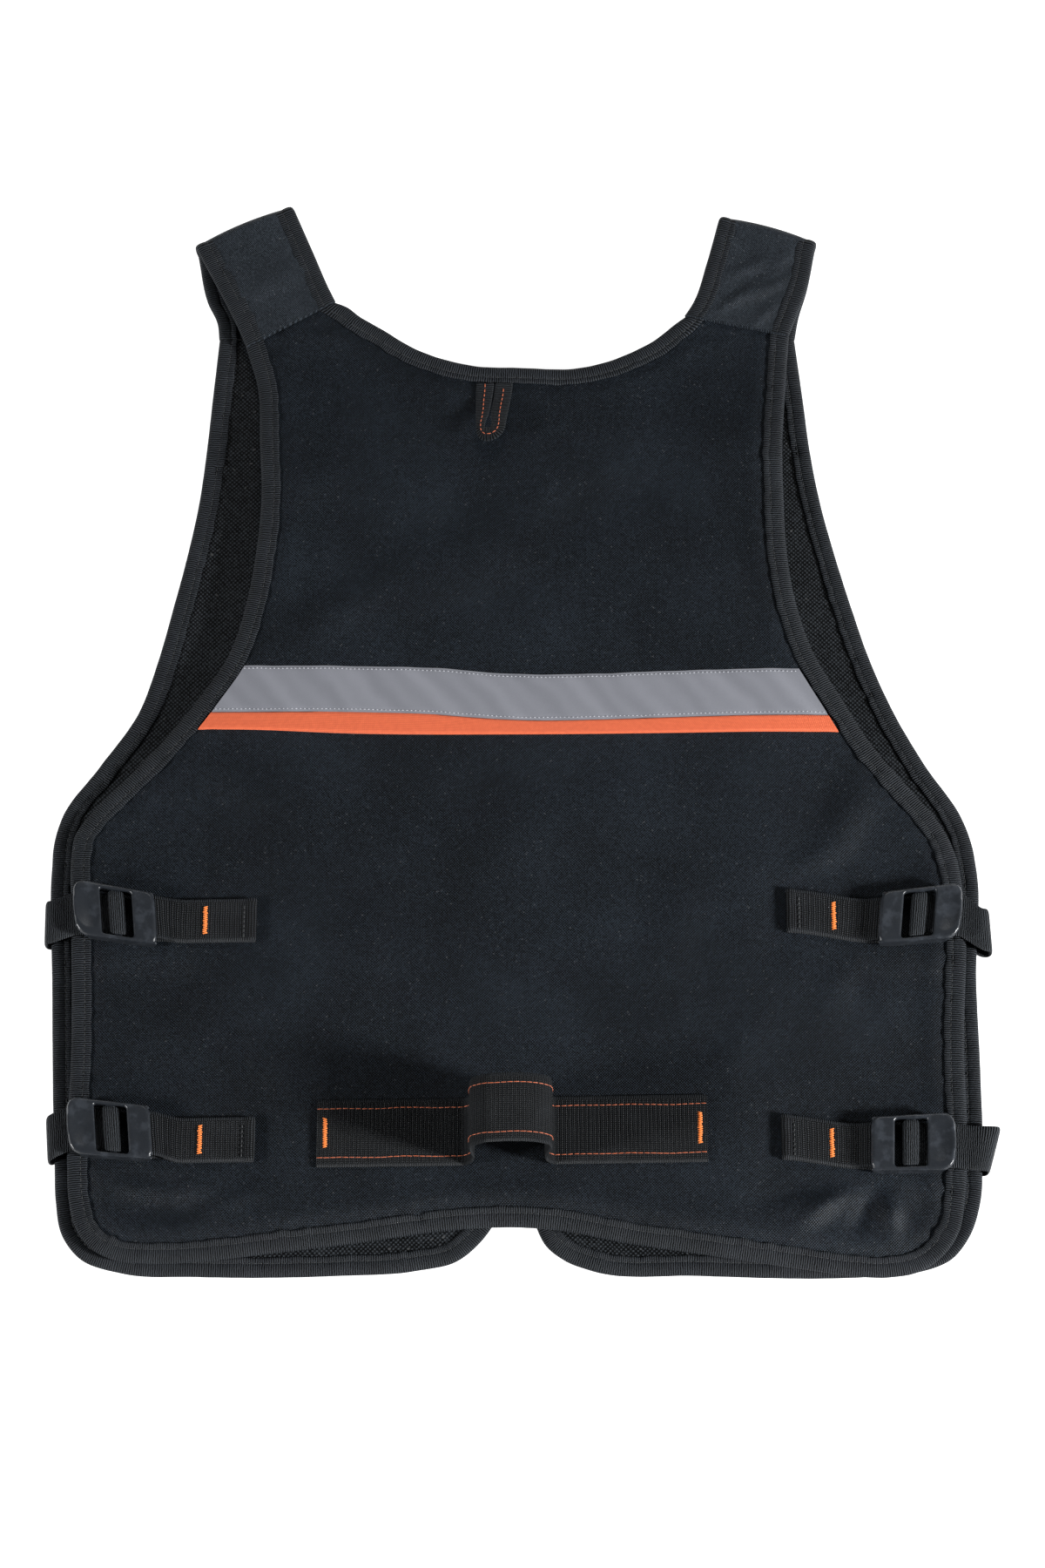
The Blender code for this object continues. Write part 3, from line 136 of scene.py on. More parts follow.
# Outlines, as shares of the length and the half width, row for row as in the source
BACK_SIDES = (
    (0.857, -0.645, 0.622), (0.8165, -0.618, 0.614), (0.758, -0.608, 0.602),
    (0.702, -0.601, 0.601), (0.647, -0.611, 0.606), (0.604, -0.628, 0.622),
    (0.550, -0.670, 0.666), (0.5175, -0.723, 0.714), (0.469, -0.820, 0.788),
    (0.436, -0.899, 0.856), (0.404, -0.974, 0.923), (0.388, -0.999, 0.948),
    (0.3685, -1.005, 0.966), (0.324, -1.000, 0.978), (0.200, -0.987, 0.966),
    (0.095, -0.984, 0.960), (0.066, -0.978, 0.953), (0.040, -0.958, 0.939),
)
BACK_HEM = (
    (-0.924, 0.0245), (-0.871, 0.0147), (-0.800, 0.0118), (-0.672, 0.0133), (-0.560, 0.0180),
    (-0.336, 0.0285), (-0.187, 0.0370), (-0.095, 0.0403), (0.000, 0.0408), (0.075, 0.0385),
    (0.224, 0.0275), (0.410, 0.0168), (0.524, 0.0100), (0.615, 0.0052), (0.704, 0.0008),
    (0.782, 0.0000), (0.854, 0.0060), (0.906, 0.0206),
)
BACK_NECK = (
    (-0.413, 0.8985), (-0.384, 0.8895), (-0.326, 0.8750), (-0.245, 0.8550), (-0.184, 0.8456),
    (-0.122, 0.8393), (0.000, 0.8367), (0.122, 0.8360), (0.183, 0.8411), (0.245, 0.8508),
    (0.306, 0.8640), (0.355, 0.8800),
)
FRONT_EDGES = (
    (0.8690, -0.712, 0.639), (0.8085, -0.724, 0.655), (0.7570, -0.734, 0.668),
    (0.7050, -0.748, 0.689), (0.6540, -0.771, 0.719), (0.6040, -0.799, 0.753),
    (0.5540, -0.829, 0.791), (0.5040, -0.870, 0.842), (0.4550, -0.951, 0.908),
    (0.4070, -1.032, 0.984), (0.3830, -1.047, 1.004), (0.3590, -1.049, 1.012),
    (0.2650, -1.038, 1.001), (0.1720, -1.026, 1.001), (0.0970, -1.013, 0.996),
    (0.0670, -1.008, 0.989), (0.0370, -0.990, 0.962), (0.0190, -0.953, 0.925),
    (0.0060, -0.860, 0.838), (0.0030, -0.700, 0.740), (0.0040, -0.390, 0.373),
    (0.0080, -0.230, 0.150), (0.0170, -0.137, 0.090), (0.0300, -0.096, 0.049),
    (0.0450, -0.066, 0.030), (0.0800, -0.030, 0.014),
)
FRONT_INNER = (
    (0.400, -0.012, 0.010), (0.500, -0.014, 0.012), (0.620, -0.160, 0.140),
    (0.760, -0.340, 0.310), (0.869, -0.484, 0.414),
)
# Each strap from its seam over the fold to the front: outer across and up, inner across
# and up, as shares
STRAPS = {
    "left": {
        "upper": ((-0.647, 0.8560, -0.440, 0.9025), (-0.664, 0.8720, -0.457, 0.9165),
                  (-0.716, 0.9140, -0.488, 0.9460)),
        "fold": (-0.778, 0.9612, -0.550, 1.0030),
        "lower": ((-0.742, 0.9060, -0.520, 0.9500), (-0.718, 0.8850, -0.492, 0.9050),
                  (-0.713, 0.8690, -0.484, 0.8690)),
    },
    "right": {
        "upper": ((0.625, 0.8675, 0.381, 0.8880), (0.636, 0.8790, 0.400, 0.9000),
                  (0.672, 0.9180, 0.434, 0.9400)),
        "fold": (0.699, 0.9655, 0.471, 0.9925),
        "lower": ((0.672, 0.9185, 0.450, 0.9400), (0.650, 0.8900, 0.424, 0.9050),
                  (0.640, 0.8690, 0.414, 0.8690)),
    },
}
# The four webbing sets: shares for up, edge, front and shear, degrees for turn, and
# millimetres, inwards from the edge or along Y, for the rest
SETS = {
    "upper_left": dict(
        up=0.3117, edge=-0.999, front=-1.044, turn=5.5, shear=0.07, buckle=1.8, tab_off=-3.2,
        bend_off=-2.8, reach_up=3.2, reach_down=2.8, tab_end=103, tab_run=16, tack=75.0),
    "upper_right": dict(
        up=0.3105, edge=0.977, front=1.009, turn=6.0, shear=0.0, buckle=1.7, tab_off=3.2,
        bend_off=-6.5, reach_up=6.0, reach_down=7.0, tab_end=98.5, tab_run=50, tack=72.7),
    "lower_left": dict(
        up=0.1220, edge=-0.985, front=-1.018, turn=5.5, shear=0.0, buckle=0.0, tab_off=-5.0,
        bend_off=-4.0, reach_up=4.0, reach_down=2.2, tab_end=101.5, tab_run=16, tack=72.1),
    "lower_right": dict(
        up=0.1100, edge=0.961, front=0.999, turn=2.0, shear=0.0, buckle=6.4, tab_off=4.3,
        bend_off=-1.0, reach_up=9.5, reach_down=2.4, tab_end=100, tab_run=50, tack=73.2),
}
SET_LENGTHS = ("buckle", "tab_off", "bend_off", "reach_up", "reach_down", "tab_end",
               "tab_run", "tack")
for set_row in SETS.values():
    for length_name in SET_LENGTHS:
        set_row[length_name] *= MM

# Long folds of the back: middle across and up as shares, direction in degrees, length,
# half width and height in millimetres
FOLDS = (
    (0.640, 0.070, 45, 70, 15, 3.0), (0.790, 0.050, 100, 45, 13, 2.2),
    (0.810, 0.085, -25, 50, 12, -1.8), (-0.760, 0.055, 3, 80, 12, -1.8),
    (-0.700, 0.085, 60, 50, 13, 1.5), (0.720, 0.400, 60, 80, 18, 2.0),
    (-0.480, 0.720, 15, 70, 20, 1.4), (0.460, 0.760, -20, 70, 20, 1.4),
    (-0.620, 0.430, -35, 80, 18, 1.4), (0.330, 0.300, 80, 90, 20, 1.2),
    (-0.350, 0.270, 100, 90, 20, 1.2),
)
FOLD_EDGE = 12 * MM
FOLD_FADE = 25 * MM

BUCKLE_CENTRE_BAR = ((0.478, 0.500), (0.496, 0.432), (0.560, 0.432), (0.578, 0.500),
                     (0.578, 0.705), (0.564, 0.750), (0.491, 0.750), (0.478, 0.705))
LOW_BAR = (0.898, 0.335)
STRAP_OVER_BAR = ((0.614, 0.364), (0.614, 0.682), (0.592, 0.830), (0.556, 0.864),
                  (0.500, 0.864), (0.464, 0.830), (0.442, 0.682), (0.442, 0.432),
                  (0.393, 0.227), (0.327, 0.102))
STRAP_BULGE = 0.6 * MM

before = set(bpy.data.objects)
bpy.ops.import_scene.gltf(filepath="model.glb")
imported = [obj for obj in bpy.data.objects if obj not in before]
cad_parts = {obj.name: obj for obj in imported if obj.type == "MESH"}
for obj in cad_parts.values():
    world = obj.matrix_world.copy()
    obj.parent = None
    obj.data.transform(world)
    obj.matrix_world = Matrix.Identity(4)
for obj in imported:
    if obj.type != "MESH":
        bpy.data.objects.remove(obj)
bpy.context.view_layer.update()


def across(share):
    return share * HALF_WIDTH


def up(share):
    return (share - 0.5) * VEST_LENGTH


def ease(value):
    value = np.clip(value, 0.0, 1.0)
    return value * value * (3.0 - 2.0 * value)


def mix(a, b, share):
    return a + (b - a) * share


def unit(rows):
    return rows / np.maximum(np.linalg.norm(rows, axis=-1, keepdims=True), 1e-12)


def tool_line(x):
    return up(TOOL_MIDDLE_UP) + TOOL_TILT * x


def spots(pairs):
    """Plan points from shares of the half width and the length."""
    return [np.array((across(x), up(y))) for x, y in pairs]


def frame_shift():
    """From the source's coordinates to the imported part's, read off the tool webbing."""
    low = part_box("tool_webbing")[0]
    corner = tool_line(TOOL_LEFT) - TOOL_WEBBING_WIDTH / 2
    return Vector((low.x - TOOL_LEFT, low.y - corner, 0.0))


SHIFT = frame_shift()
UPRIGHT = np.array((0.0, 0.0, 1.0))


# Curves

def curve(points, spacing):
    """Even points along a smooth curve through the given ones."""
    p = np.asarray(points, float)
    gap = np.maximum(np.linalg.norm(np.diff(p, axis=0), axis=1), 1e-9)[:, None]
    slope = np.diff(p, axis=0) / gap
    tangent = np.empty_like(p)
    tangent[0] = slope[0]
    tangent[-1] = slope[-1]
    tangent[1:-1] = (slope[1:] * gap[:-1] + slope[:-1] * gap[1:]) / (gap[:-1] + gap[1:])
    t = np.linspace(0, 1, 24, endpoint=False)[:, None]
    parts = []
    for i in range(len(p) - 1):
        parts.append(p[i] * (2 * t ** 3 - 3 * t ** 2 + 1)
                     + tangent[i] * gap[i] * (t ** 3 - 2 * t ** 2 + t)
                     + p[i + 1] * (3 * t ** 2 - 2 * t ** 3)
                     + tangent[i + 1] * gap[i] * (t ** 3 - t ** 2))
    parts.append(p[-1:])
    return even(np.concatenate(parts), spacing)


def lengths(line):
    steps = np.linalg.norm(np.diff(line, axis=0), axis=1)
    return np.concatenate([[0.0], np.cumsum(steps)])


def even(line, spacing):
    travelled = lengths(line)
    count = max(int(round(travelled[-1] / spacing)) + 1, 2)
    places = np.linspace(0, travelled[-1], count)
    return np.stack([np.interp(places, travelled, line[:, k]) for k in range(line.shape[1])], 1)


def side_normals(line, side):
    run = unit(np.gradient(line, axis=0))
    return np.stack([-run[:, 1], run[:, 0]], 1) * side


def waves(place, scales, seed):
    """A smooth irregular wave, between about -1 and 1, from a few fixed sines."""
    total = np.zeros_like(np.asarray(place, float))
    phases = np.random.default_rng(seed).uniform(0, 2 * math.pi, len(scales))
    for scale, phase in zip(scales, phases):
        total += np.sin(2 * math.pi * place / scale + phase)
    return total / len(scales)


# Heights of the cloth

HEM_X = np.array([across(x) for x, _ in BACK_HEM])
HEM_Y = np.array([up(y) for _, y in BACK_HEM])


def hem_line(x):
    return np.interp(x, HEM_X, HEM_Y)


def set_weight(row, x, y, start, depth):
    side = math.copysign(1.0, row["edge"])
    inwards = side * (start - x)
    off_line = np.abs(y - up(row["up"])) - WEBBING_WIDTH / 2 - SET_MARGIN
    off_depth = inwards - depth - SET_MARGIN
    return ease(1 - off_line / SET_FADE) * ease(1 - off_depth / SET_FADE)


def fold_shape(dx, dy, angle, length, half_width):
    """Height between 0 and 1 of a soft fold, at steps away from its middle."""
    turn = math.radians(angle)
    along = np.clip((dx * math.cos(turn) + dy * math.sin(turn)) / (length / 2), -1, 1)
    beside = np.clip((dx * math.sin(turn) - dy * math.cos(turn)) / half_width, -1, 1)
    return (1 - along ** 2) ** 2 * (1 - beside ** 2) ** 2


def fold_sum(rows, x, y):
    total = np.zeros_like(x)
    for middle_x, middle_y, angle, length, half_width, height in rows:
        shape = fold_shape(x - across(middle_x), y - up(middle_y), angle, length * MM,
                           half_width * MM)
        total += height * MM * shape
    return total


# Finer folds that only the looks have, in the same columns
FINE_FOLDS = (
    (0.655, 0.060, 40, 74, 8.5, 3.4), (0.795, 0.046, 96, 50, 6.5, 3.2),
    (0.735, 0.055, 62, 54, 7.5, -2.4), (0.870, 0.060, 118, 44, 7, -1.4),
    (0.560, 0.070, 20, 60, 9, -1.2), (-0.820, 0.075, -8, 60, 7, 1.8),
    (-0.640, 0.058, 28, 60, 8, 1.6), (-0.740, 0.050, 70, 44, 7, -1.4),
    (0.700, 0.260, 70, 80, 13, 0.9), (0.800, 0.230, 120, 60, 9, 0.8),
    (-0.760, 0.250, 60, 60, 11, -0.8), (-0.550, 0.200, 85, 90, 16, 0.7),
    (0.450, 0.180, 60, 110, 16, 0.7), (0.640, 0.360, 35, 70, 12, 0.9),
    (-0.150, 0.640, 25, 160, 30, 1.9), (0.200, 0.700, 30, 150, 26, -1.5),
    (-0.400, 0.600, 35, 110, 18, 1.4), (0.450, 0.640, -60, 90, 16, 1.4),
    (0.100, 0.400, 20, 190, 30, 0.8), (-0.300, 0.420, -25, 150, 24, -0.7),
)


def cad_back_top(x, y):
    from_side = ease((HALF_WIDTH - np.abs(x)) / DOME_REACH)
    from_hem = mix(HEM_SHARE, 1.0, ease((y - hem_line(x)) / HEM_REACH))
    from_shoulder = ease((up(SHOULDER_UP) - y) / SHOULDER_REACH)
    height = BACK_EDGE_TOP + DOME_RISE * from_side * from_hem * from_shoulder
    from_edge = np.minimum(HALF_WIDTH - np.abs(x), y - hem_line(x))
    height = height + fold_sum(FOLDS, x, y) * ease((from_edge - FOLD_EDGE) / FOLD_FADE)
    for row in SETS.values():
        edge = across(row["edge"])
        weight = set_weight(row, x, y, edge, row["tab_end"])
        inwards = np.maximum(abs(edge) - np.abs(x), 0.0)
        plate = BACK_EDGE_TOP + STRAP_RISE + PLATE_SLOPE * inwards
        height = mix(height, plate, weight)
    return height


def back_top(x, y):
    """The source's height with the finer folds, which keep off the webbing's ground."""
    x = np.asarray(x, float)
    y = np.asarray(y, float)
    height = cad_back_top(x, y)
    free = np.ones_like(x)
    for row in SETS.values():
        free *= 1 - set_weight(row, x, y, across(row["edge"]), row["tab_end"])
    off_tool = np.maximum(np.abs(y - tool_line(x)) - TOOL_WEBBING_WIDTH / 2,
                          np.maximum(TOOL_LEFT - x, x - TOOL_RIGHT))
    free *= ease(off_tool / TOOL_CLEAR)
    from_edge = np.minimum(HALF_WIDTH - np.abs(x), y - hem_line(x))
    free *= ease((from_edge - FOLD_EDGE) / FOLD_FADE)
    return height + fold_sum(FINE_FOLDS, x, y) * free


def front_top(x, y):
    x = np.asarray(x, float)
    y = np.asarray(y, float)
    height = np.full_like(x, FRONT_TOP)
    for row in SETS.values():
        depth = UNDER_STRAP_LENGTH + SET_MARGIN
        height += STRAP_RISE * set_weight(row, x, y, across(row["front"]), depth)
    return height


# Materials

class Finish:
    """A material and the small helpers that build its nodes."""

    def __init__(self, name, colour, roughness, sheen=0.0, specular=0.5):
        self.material = bpy.data.materials.new(name)
        self.material.use_nodes = True
        self.material.diffuse_color = (*colour, 1.0)
        self.tree = self.material.node_tree
        self.shader = self.tree.nodes["Principled BSDF"]
        for label, value in (("Base Color", (*colour, 1.0)), ("Roughness", roughness),
                             ("Metallic", 0.0), ("Sheen Weight", sheen),
                             ("Sheen Roughness", 0.45), ("Specular IOR Level", specular)):
            self.shader.inputs[label].default_value = value

    def set(self, socket, value):
        if isinstance(value, bpy.types.NodeSocket):
            self.tree.links.new(value, socket)
        elif isinstance(value, tuple):
            socket.default_value = (*value, 1.0)
        else:
            socket.default_value = value

    def node(self, kind, inputs=(), **settings):
        node = self.tree.nodes.new("ShaderNode" + kind)
        for key, value in settings.items():
            setattr(node, key, value)
        for key, value in dict(inputs).items():
            self.set(node.inputs[key], value)
        return node

    def math(self, operation, *values):
        return self.node("Math", enumerate(values), operation=operation).outputs[0]

    def times(self, first, second):
        return self.math("MULTIPLY", first, second)

    def line(self, value, slope, offset):
        return self.math("MULTIPLY_ADD", value, slope, offset)

    def varied(self, tone, value, amount):
        """A tone moved up and down by a value between 0 and 1."""
        return self.math("ADD", tone, self.line(value, amount, -amount / 2))

    def mixed(self, share, first, second):
        node = self.node("Mix", {"Factor": share}, data_type="RGBA", clamp_factor=True)
        for label, value in (("A", first), ("B", second)):
            socket = [s for s in node.inputs if s.name == label and s.type == "RGBA"][0]
            self.set(socket, value)
        return [s for s in node.outputs if s.type == "RGBA"][0]

    def place(self, uv=None):
        """Coordinates in millimetres: the object's own, or a named map's."""
        if uv:
            return self.node("UVMap", uv_map=uv).outputs[0]
        own = self.node("TexCoord").outputs["Object"]
        return self.node("VectorMath", {0: own, "Scale": 1000.0}, operation="SCALE").outputs[0]

    def parts(self, vector):
        return self.node("SeparateXYZ", {0: vector}).outputs

    def noise(self, vector, scale, detail=2.0, roughness=0.5):
        inputs = {"Vector": vector, "Scale": scale, "Detail": detail, "Roughness": roughness}
        return self.node("TexNoise", inputs).outputs["Fac"]

    def cells(self, vector, scale):
        """A random value for each small cell."""
        cell = self.node("TexVoronoi", {"Vector": vector, "Scale": scale})
        return self.node("SeparateColor", {0: cell.outputs["Color"]}).outputs[0]

    def ramp(self, value, low, high):
        """0 below low, 1 above high."""
        inputs = {"Value": value, "From Min": low, "From Max": high}
        return self.node("MapRange", inputs, interpolation_type="SMOOTHSTEP").outputs[0]

    def wave(self, value, period):
        """0 to 1 wave of the given period in millimetres."""
        turned = self.line(value, 2 * math.pi / period, 0.0)
        return self.line(self.math("SINE", turned), 0.5, 0.5)

    def ripple(self, value, step):
        return self.math("SINE", self.times(value, math.pi / step))

    def finished(self, colour, roughness=None, height=None, distance=0.0, strength=1.0):
        """The material with its colour, and with its roughness and bump where given."""
        self.set(self.shader.inputs["Base Color"], colour)
        if roughness is not None:
            self.set(self.shader.inputs["Roughness"], roughness)
        if height is not None:
            inputs = {"Strength": strength, "Distance": distance, "Height": height}
            self.set(self.shader.inputs["Normal"], self.node("Bump", inputs).outputs[0])
        return self.material


def cloth_finish(name, base, light, pitch, sheen=0.0, wear=0.35):
    """Plain weave: yarn crossings with painted highlights and shade, and a few bright flecks."""
    finish = Finish(name, base, 0.48, sheen, 0.15)
    place = finish.place()
    x, y, _ = finish.parts(place)
    bend = finish.line(finish.noise(place, 0.12, 3.0), 1.6, -0.8)
    warp, weft = (finish.ripple(finish.math("ADD", value, bend), pitch) for value in (x, y))
    height = finish.line(finish.times(warp, weft), 0.5, 0.5)
    cell = finish.cells(place, 1.0 / pitch)
    # Painted highlight and painted shade: the colour follows the bump height, lighter on the yarn
    # crests and dark in the gaps.
    tone = finish.line(finish.math("POWER", height, 3.0), 1.15, -0.02)
    tone = finish.varied(tone, finish.noise(place, 0.02), 0.5)
    tone = finish.varied(tone, cell, wear)
    fleck = finish.times(finish.ramp(cell, 0.990, 0.999), 0.3)
    bright = (2.4 * sum(light) / 3,) * 3
    colour = finish.mixed(fleck, finish.mixed(tone, base, light), bright)
    return finish.finished(colour, finish.line(height, -0.14, 0.58), height, 0.00022)


def ribbed_finish(name, base, light, pitch):
    """Grosgrain: fine ribs across the tape, along its own map in millimetres."""
    finish = Finish(name, base, 0.52, 0.01, 0.12)
    place = finish.place("tape")
    along, beside, _ = finish.parts(place)
    rib = finish.wave(finish.line(finish.noise(place, 0.35), 0.9, along), pitch)
    height = finish.line(finish.wave(beside, 0.55), 0.18, finish.times(rib, 0.82))
    # Painted highlight and painted shade: the ribs are coloured lighter on their crests and dark in
    # the gaps, following the bump height.
    tone = finish.line(finish.math("POWER", height, 2.6), 1.15, -0.03)
    tone = finish.varied(tone, finish.noise(place, 0.06), 0.4)
    colour = finish.mixed(tone, base, light)
    return finish.finished(colour, finish.line(rib, -0.14, 0.66), height, 0.00034)


def webbing_finish(name, base, light, column, pitch, width):
    """Webbing: columns of short slanted floats, with a plainer selvedge at each side."""
    finish = Finish(name, base, 0.52, 0.01, 0.12)
    place = finish.place("tape")
    along, beside, _ = finish.parts(place)
    along = finish.line(finish.noise(place, 0.12), 0.9, along)
    number = finish.math("DIVIDE", along, column)
    within_column = finish.math("FRACT", number)
    odd = finish.math("FLOORED_MODULO", finish.math("FLOOR", number), 2.0)
    slant = finish.line(odd, 2.0, -1.0)
    offset = finish.times(finish.math("SUBTRACT", within_column, 0.5), slant)
    floats = finish.wave(finish.line(offset, pitch * 0.9, beside), pitch)
    crown = finish.math("SINE", finish.times(within_column, math.pi))
    body = finish.times(finish.line(floats, 0.7, 0.3), crown)
    rib = finish.wave(along, column * 0.8)
    from_side = finish.math("MINIMUM", beside, finish.math("SUBTRACT", width, beside))
    selvedge = finish.math("SUBTRACT", 1.0, finish.ramp(from_side, 1.6, 2.2))
    inner = finish.times(body, finish.math("SUBTRACT", 1.0, selvedge))
    height = finish.math("ADD", inner, finish.times(rib, selvedge))
    # Painted highlight and painted shade: the floats and ribs are coloured lighter on their crests
    # and dark in the gaps, following the bump height.
    tone = finish.line(finish.math("POWER", height, 3.0), 1.3, -0.03)
    tone = finish.varied(tone, finish.noise(place, 0.08), 0.4)
    colour = finish.mixed(tone, base, light)
    return finish.finished(colour, finish.line(height, -0.16, 0.64), height, 0.00036)


def reflective_finish():
    """Grey glass-bead tape, with painted sheen in soft slanting bands of lighter colour."""
    finish = Finish("reflective_grey", (0.23, 0.235, 0.26), 0.52, 0.0, 0.4)
    place = finish.place()
    x, y, _ = finish.parts(place)
    weave = finish.times(finish.ripple(x, 0.4), finish.ripple(y, 0.4))
    grain = finish.noise(place, 1.8, 3.0)
    broad = finish.noise(place, 0.03, 3.0, 0.6)
    bent = finish.line(broad, 18.0, finish.line(y, 0.9, x))
    # Painted sheen: soft slanting bands painted lighter into the tape's colour; the grain added on
    # top is random.
    painted_sheen_band = finish.math("ADD", finish.wave(bent, 41.0), finish.wave(bent, 17.0))
    tone = finish.line(grain, 0.4, finish.line(painted_sheen_band, 0.24, 0.05))
    colour = finish.mixed(tone, (0.150, 0.155, 0.176), (0.232, 0.238, 0.268))
    return finish.finished(colour, finish.line(grain, 0.2, 0.38), finish.line(weave, 0.5, 0.5),
                           0.00003, 0.6)


def orange_finish():
    finish = Finish("orange_twill", (0.80, 0.14, 0.045), 0.62, 0.15)
    place = finish.place("tape")
    along, beside, _ = finish.parts(place)
    twill = finish.wave(finish.line(beside, 0.8, along), 0.85)
    height = finish.times(twill, finish.wave(beside, 0.7))
    grain = finish.noise(place, 0.4)
    # Painted highlight and painted shade: the twill's raised lines are coloured lighter and its
    # hollows darker; the grain added on top is random.
    tone = finish.line(height, 0.8, finish.line(grain, 0.5, -0.2))
    colour = finish.mixed(tone, (0.56, 0.088, 0.028), (0.88, 0.19, 0.070))
    return finish.finished(colour, None, height, 0.00012, 0.8)


def plastic_finish():
    finish = Finish("buckle_grey", (0.020, 0.023, 0.028), 0.34, 0.0, 0.45)
    place = finish.place()
    grain = finish.noise(place, 2.4, 3.0)
    broad = finish.noise(place, 0.25, 3.0, 0.6)
    # Painted reflection: mottled lighter patches painted into the plastic's colour; the grain added
    # to them is random tone.
    painted_reflection_patch = finish.ramp(finish.noise(place, 0.11, 4.0, 0.6), 0.50, 0.66)
    tone = finish.line(painted_reflection_patch, 0.45, finish.line(grain, 0.4, 0.0))
    colour = finish.mixed(tone, (0.0105, 0.0125, 0.0155), (0.040, 0.046, 0.056))
    return finish.finished(colour, finish.line(broad, 0.26, 0.20), grain, 0.00006, 0.35)


def thread_finish(name, base, light):
    finish = Finish(name, base, 0.55, 0.1)
    return finish.finished(finish.mixed(finish.noise(finish.place(), 1.2), base, light))


DEEP = (0.0006, 0.0008, 0.0010)
SHELL = cloth_finish("shell_weave", (0.0003, 0.0005, 0.0009), (0.0270, 0.0370, 0.0510), 0.74,
                     wear=0.4)
LINING = cloth_finish("lining_knit", (0.0006, 0.0008, 0.0011), (0.0480, 0.0550, 0.0630), 1.25)
STRAP_CLOTH = cloth_finish("strap_weave", (0.0020, 0.0028, 0.0040), (0.0640, 0.0790, 0.0980),
                           0.62, 0.01)
GROSGRAIN = ribbed_finish("binding_grosgrain", (0.0006, 0.0009, 0.0012),
                          (0.0440, 0.0510, 0.0610), 1.25)
WEBBING = webbing_finish("webbing_weave", DEEP, (0.0380, 0.0430, 0.0500), 1.35, 1.1, 25.0)
WIDE_WEBBING = webbing_finish("wide_webbing_weave", DEEP, (0.0290, 0.0330, 0.0380), 1.1, 1.1,
                              38.0)
NARROW_TAPE = ribbed_finish("hang_tape", (0.0007, 0.0009, 0.0012), (0.0400, 0.0460, 0.0540), 1.1)
SIDE_WEBBING = ribbed_finish("side_webbing_ribs", DEEP, (0.0480, 0.0550, 0.0640), 1.1)
REFLECTIVE = reflective_finish()
ORANGE = orange_finish()
PLASTIC = plastic_finish()
RUST_THREAD = thread_finish("rust_thread", (0.36, 0.075, 0.028), (0.56, 0.14, 0.055))
BRIGHT_THREAD = thread_finish("orange_thread", (0.80, 0.17, 0.02), (0.95, 0.28, 0.05))
WHITE_THREAD = thread_finish("pale_thread", (0.30, 0.31, 0.34), (0.52, 0.53, 0.57))
DARK_THREAD = thread_finish("dark_thread", (0.006, 0.007, 0.008), (0.022, 0.025, 0.028))


# Meshes

def add_piece(name, vertices, faces, material, uv=None, sharp=50):
    mesh = bpy.data.meshes.new(name)
    mesh.from_pydata(np.asarray(vertices, float).tolist(), [], faces)
    if uv is not None:
        layer = mesh.uv_layers.new(name="tape")
        layer.data.foreach_set("uv", np.asarray(uv, np.float32).ravel())
    shape = bmesh.new()
    shape.from_mesh(mesh)
    bmesh.ops.recalc_face_normals(shape, faces=shape.faces)
    shape.to_mesh(mesh)
    shape.free()
    mesh.shade_smooth()
    if sharp:
        mesh.set_sharp_from_angle(angle=math.radians(sharp))
    mesh.materials.append(material)
    piece = bpy.data.objects.new(name, mesh)
    bpy.context.scene.collection.objects.link(piece)
    return piece


def settle(piece, replaces=()):
    """Move a finished piece from the source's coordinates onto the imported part."""
    places = np.empty(len(piece.data.vertices) * 3)
    piece.data.vertices.foreach_get("co", places)
    moved = places.reshape(-1, 3) + np.array(SHIFT)
    piece.data.vertices.foreach_set("co", moved.ravel())
    piece.data.update()
    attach(piece, "root")
    if replaces:
        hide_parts(*replaces)
    return piece


def ring_faces(n, k):
    """Quads between n rings of k points, and the two caps."""
    i = np.arange(n - 1)[:, None]
    j = np.arange(k)[None, :]
    after = (j + 1) % k
    quads = np.stack([i * k + j, i * k + after, (i + 1) * k + after, (i + 1) * k + j], -1)
    caps = [list(range(k))[::-1], list(range((n - 1) * k, n * k))]
    return quads.reshape(-1, 4).tolist() + caps


def swept(name, rings, along, around, material, replaces):
    """A settled piece from a closed section at stations, with its map in millimetres."""
    n, k = rings.shape[:2]
    along = along / MM
    around = around / MM
    a0, a1 = (np.broadcast_to(ends[:, None], (n - 1, k)) for ends in (along[:-1], along[1:]))
    b0, b1 = (np.broadcast_to(ends[None], (n - 1, k)) for ends in (around[:-1], around[1:]))
    corners = [np.stack(pair, -1) for pair in ((a0, b0), (a0, b1), (a1, b1), (a1, b0))]
    caps = [np.stack([np.full(k, along[0]), around[:k][::-1]], 1),
            np.stack([np.full(k, along[-1]), around[:k]], 1)]
    uv = np.concatenate([np.stack(corners, 2).reshape(-1, 2), *caps])
    piece = add_piece(name, rings.reshape(-1, 3), ring_faces(n, k), material, uv, 60)
    return settle(piece, (replaces,))


def inside(x, y, outline):
    """Which of many points lie inside an outline."""
    hit = np.zeros(x.shape, bool)
    for (ax, ay), (bx, by) in zip(outline, np.roll(outline, -1, axis=0)):
        if ay != by:
            crossing = ax + (y - ay) / (by - ay) * (bx - ax)
            hit ^= ((ay > y) != (by > y)) & (x < crossing)
    return hit


def within(points, loops):
    """Which points lie inside the first loop and outside the others."""
    hits = [inside(points[:, 0], points[:, 1], loop) for loop in loops]
    return hits[0] & ~np.any([np.zeros_like(hits[0])] + hits[1:], axis=0)


def nearest(outline, points):
    """Index and distance of the outline's nearest point to each of many."""
    tree = KDTree(len(outline))
    for index, (x, y) in enumerate(outline):
        tree.insert((x, y, 0), index)
    tree.balance()
    found = [tree.find((x, y, 0)) for x, y in points]
    return np.array([hit[1] for hit in found]), np.array([hit[2] for hit in found])


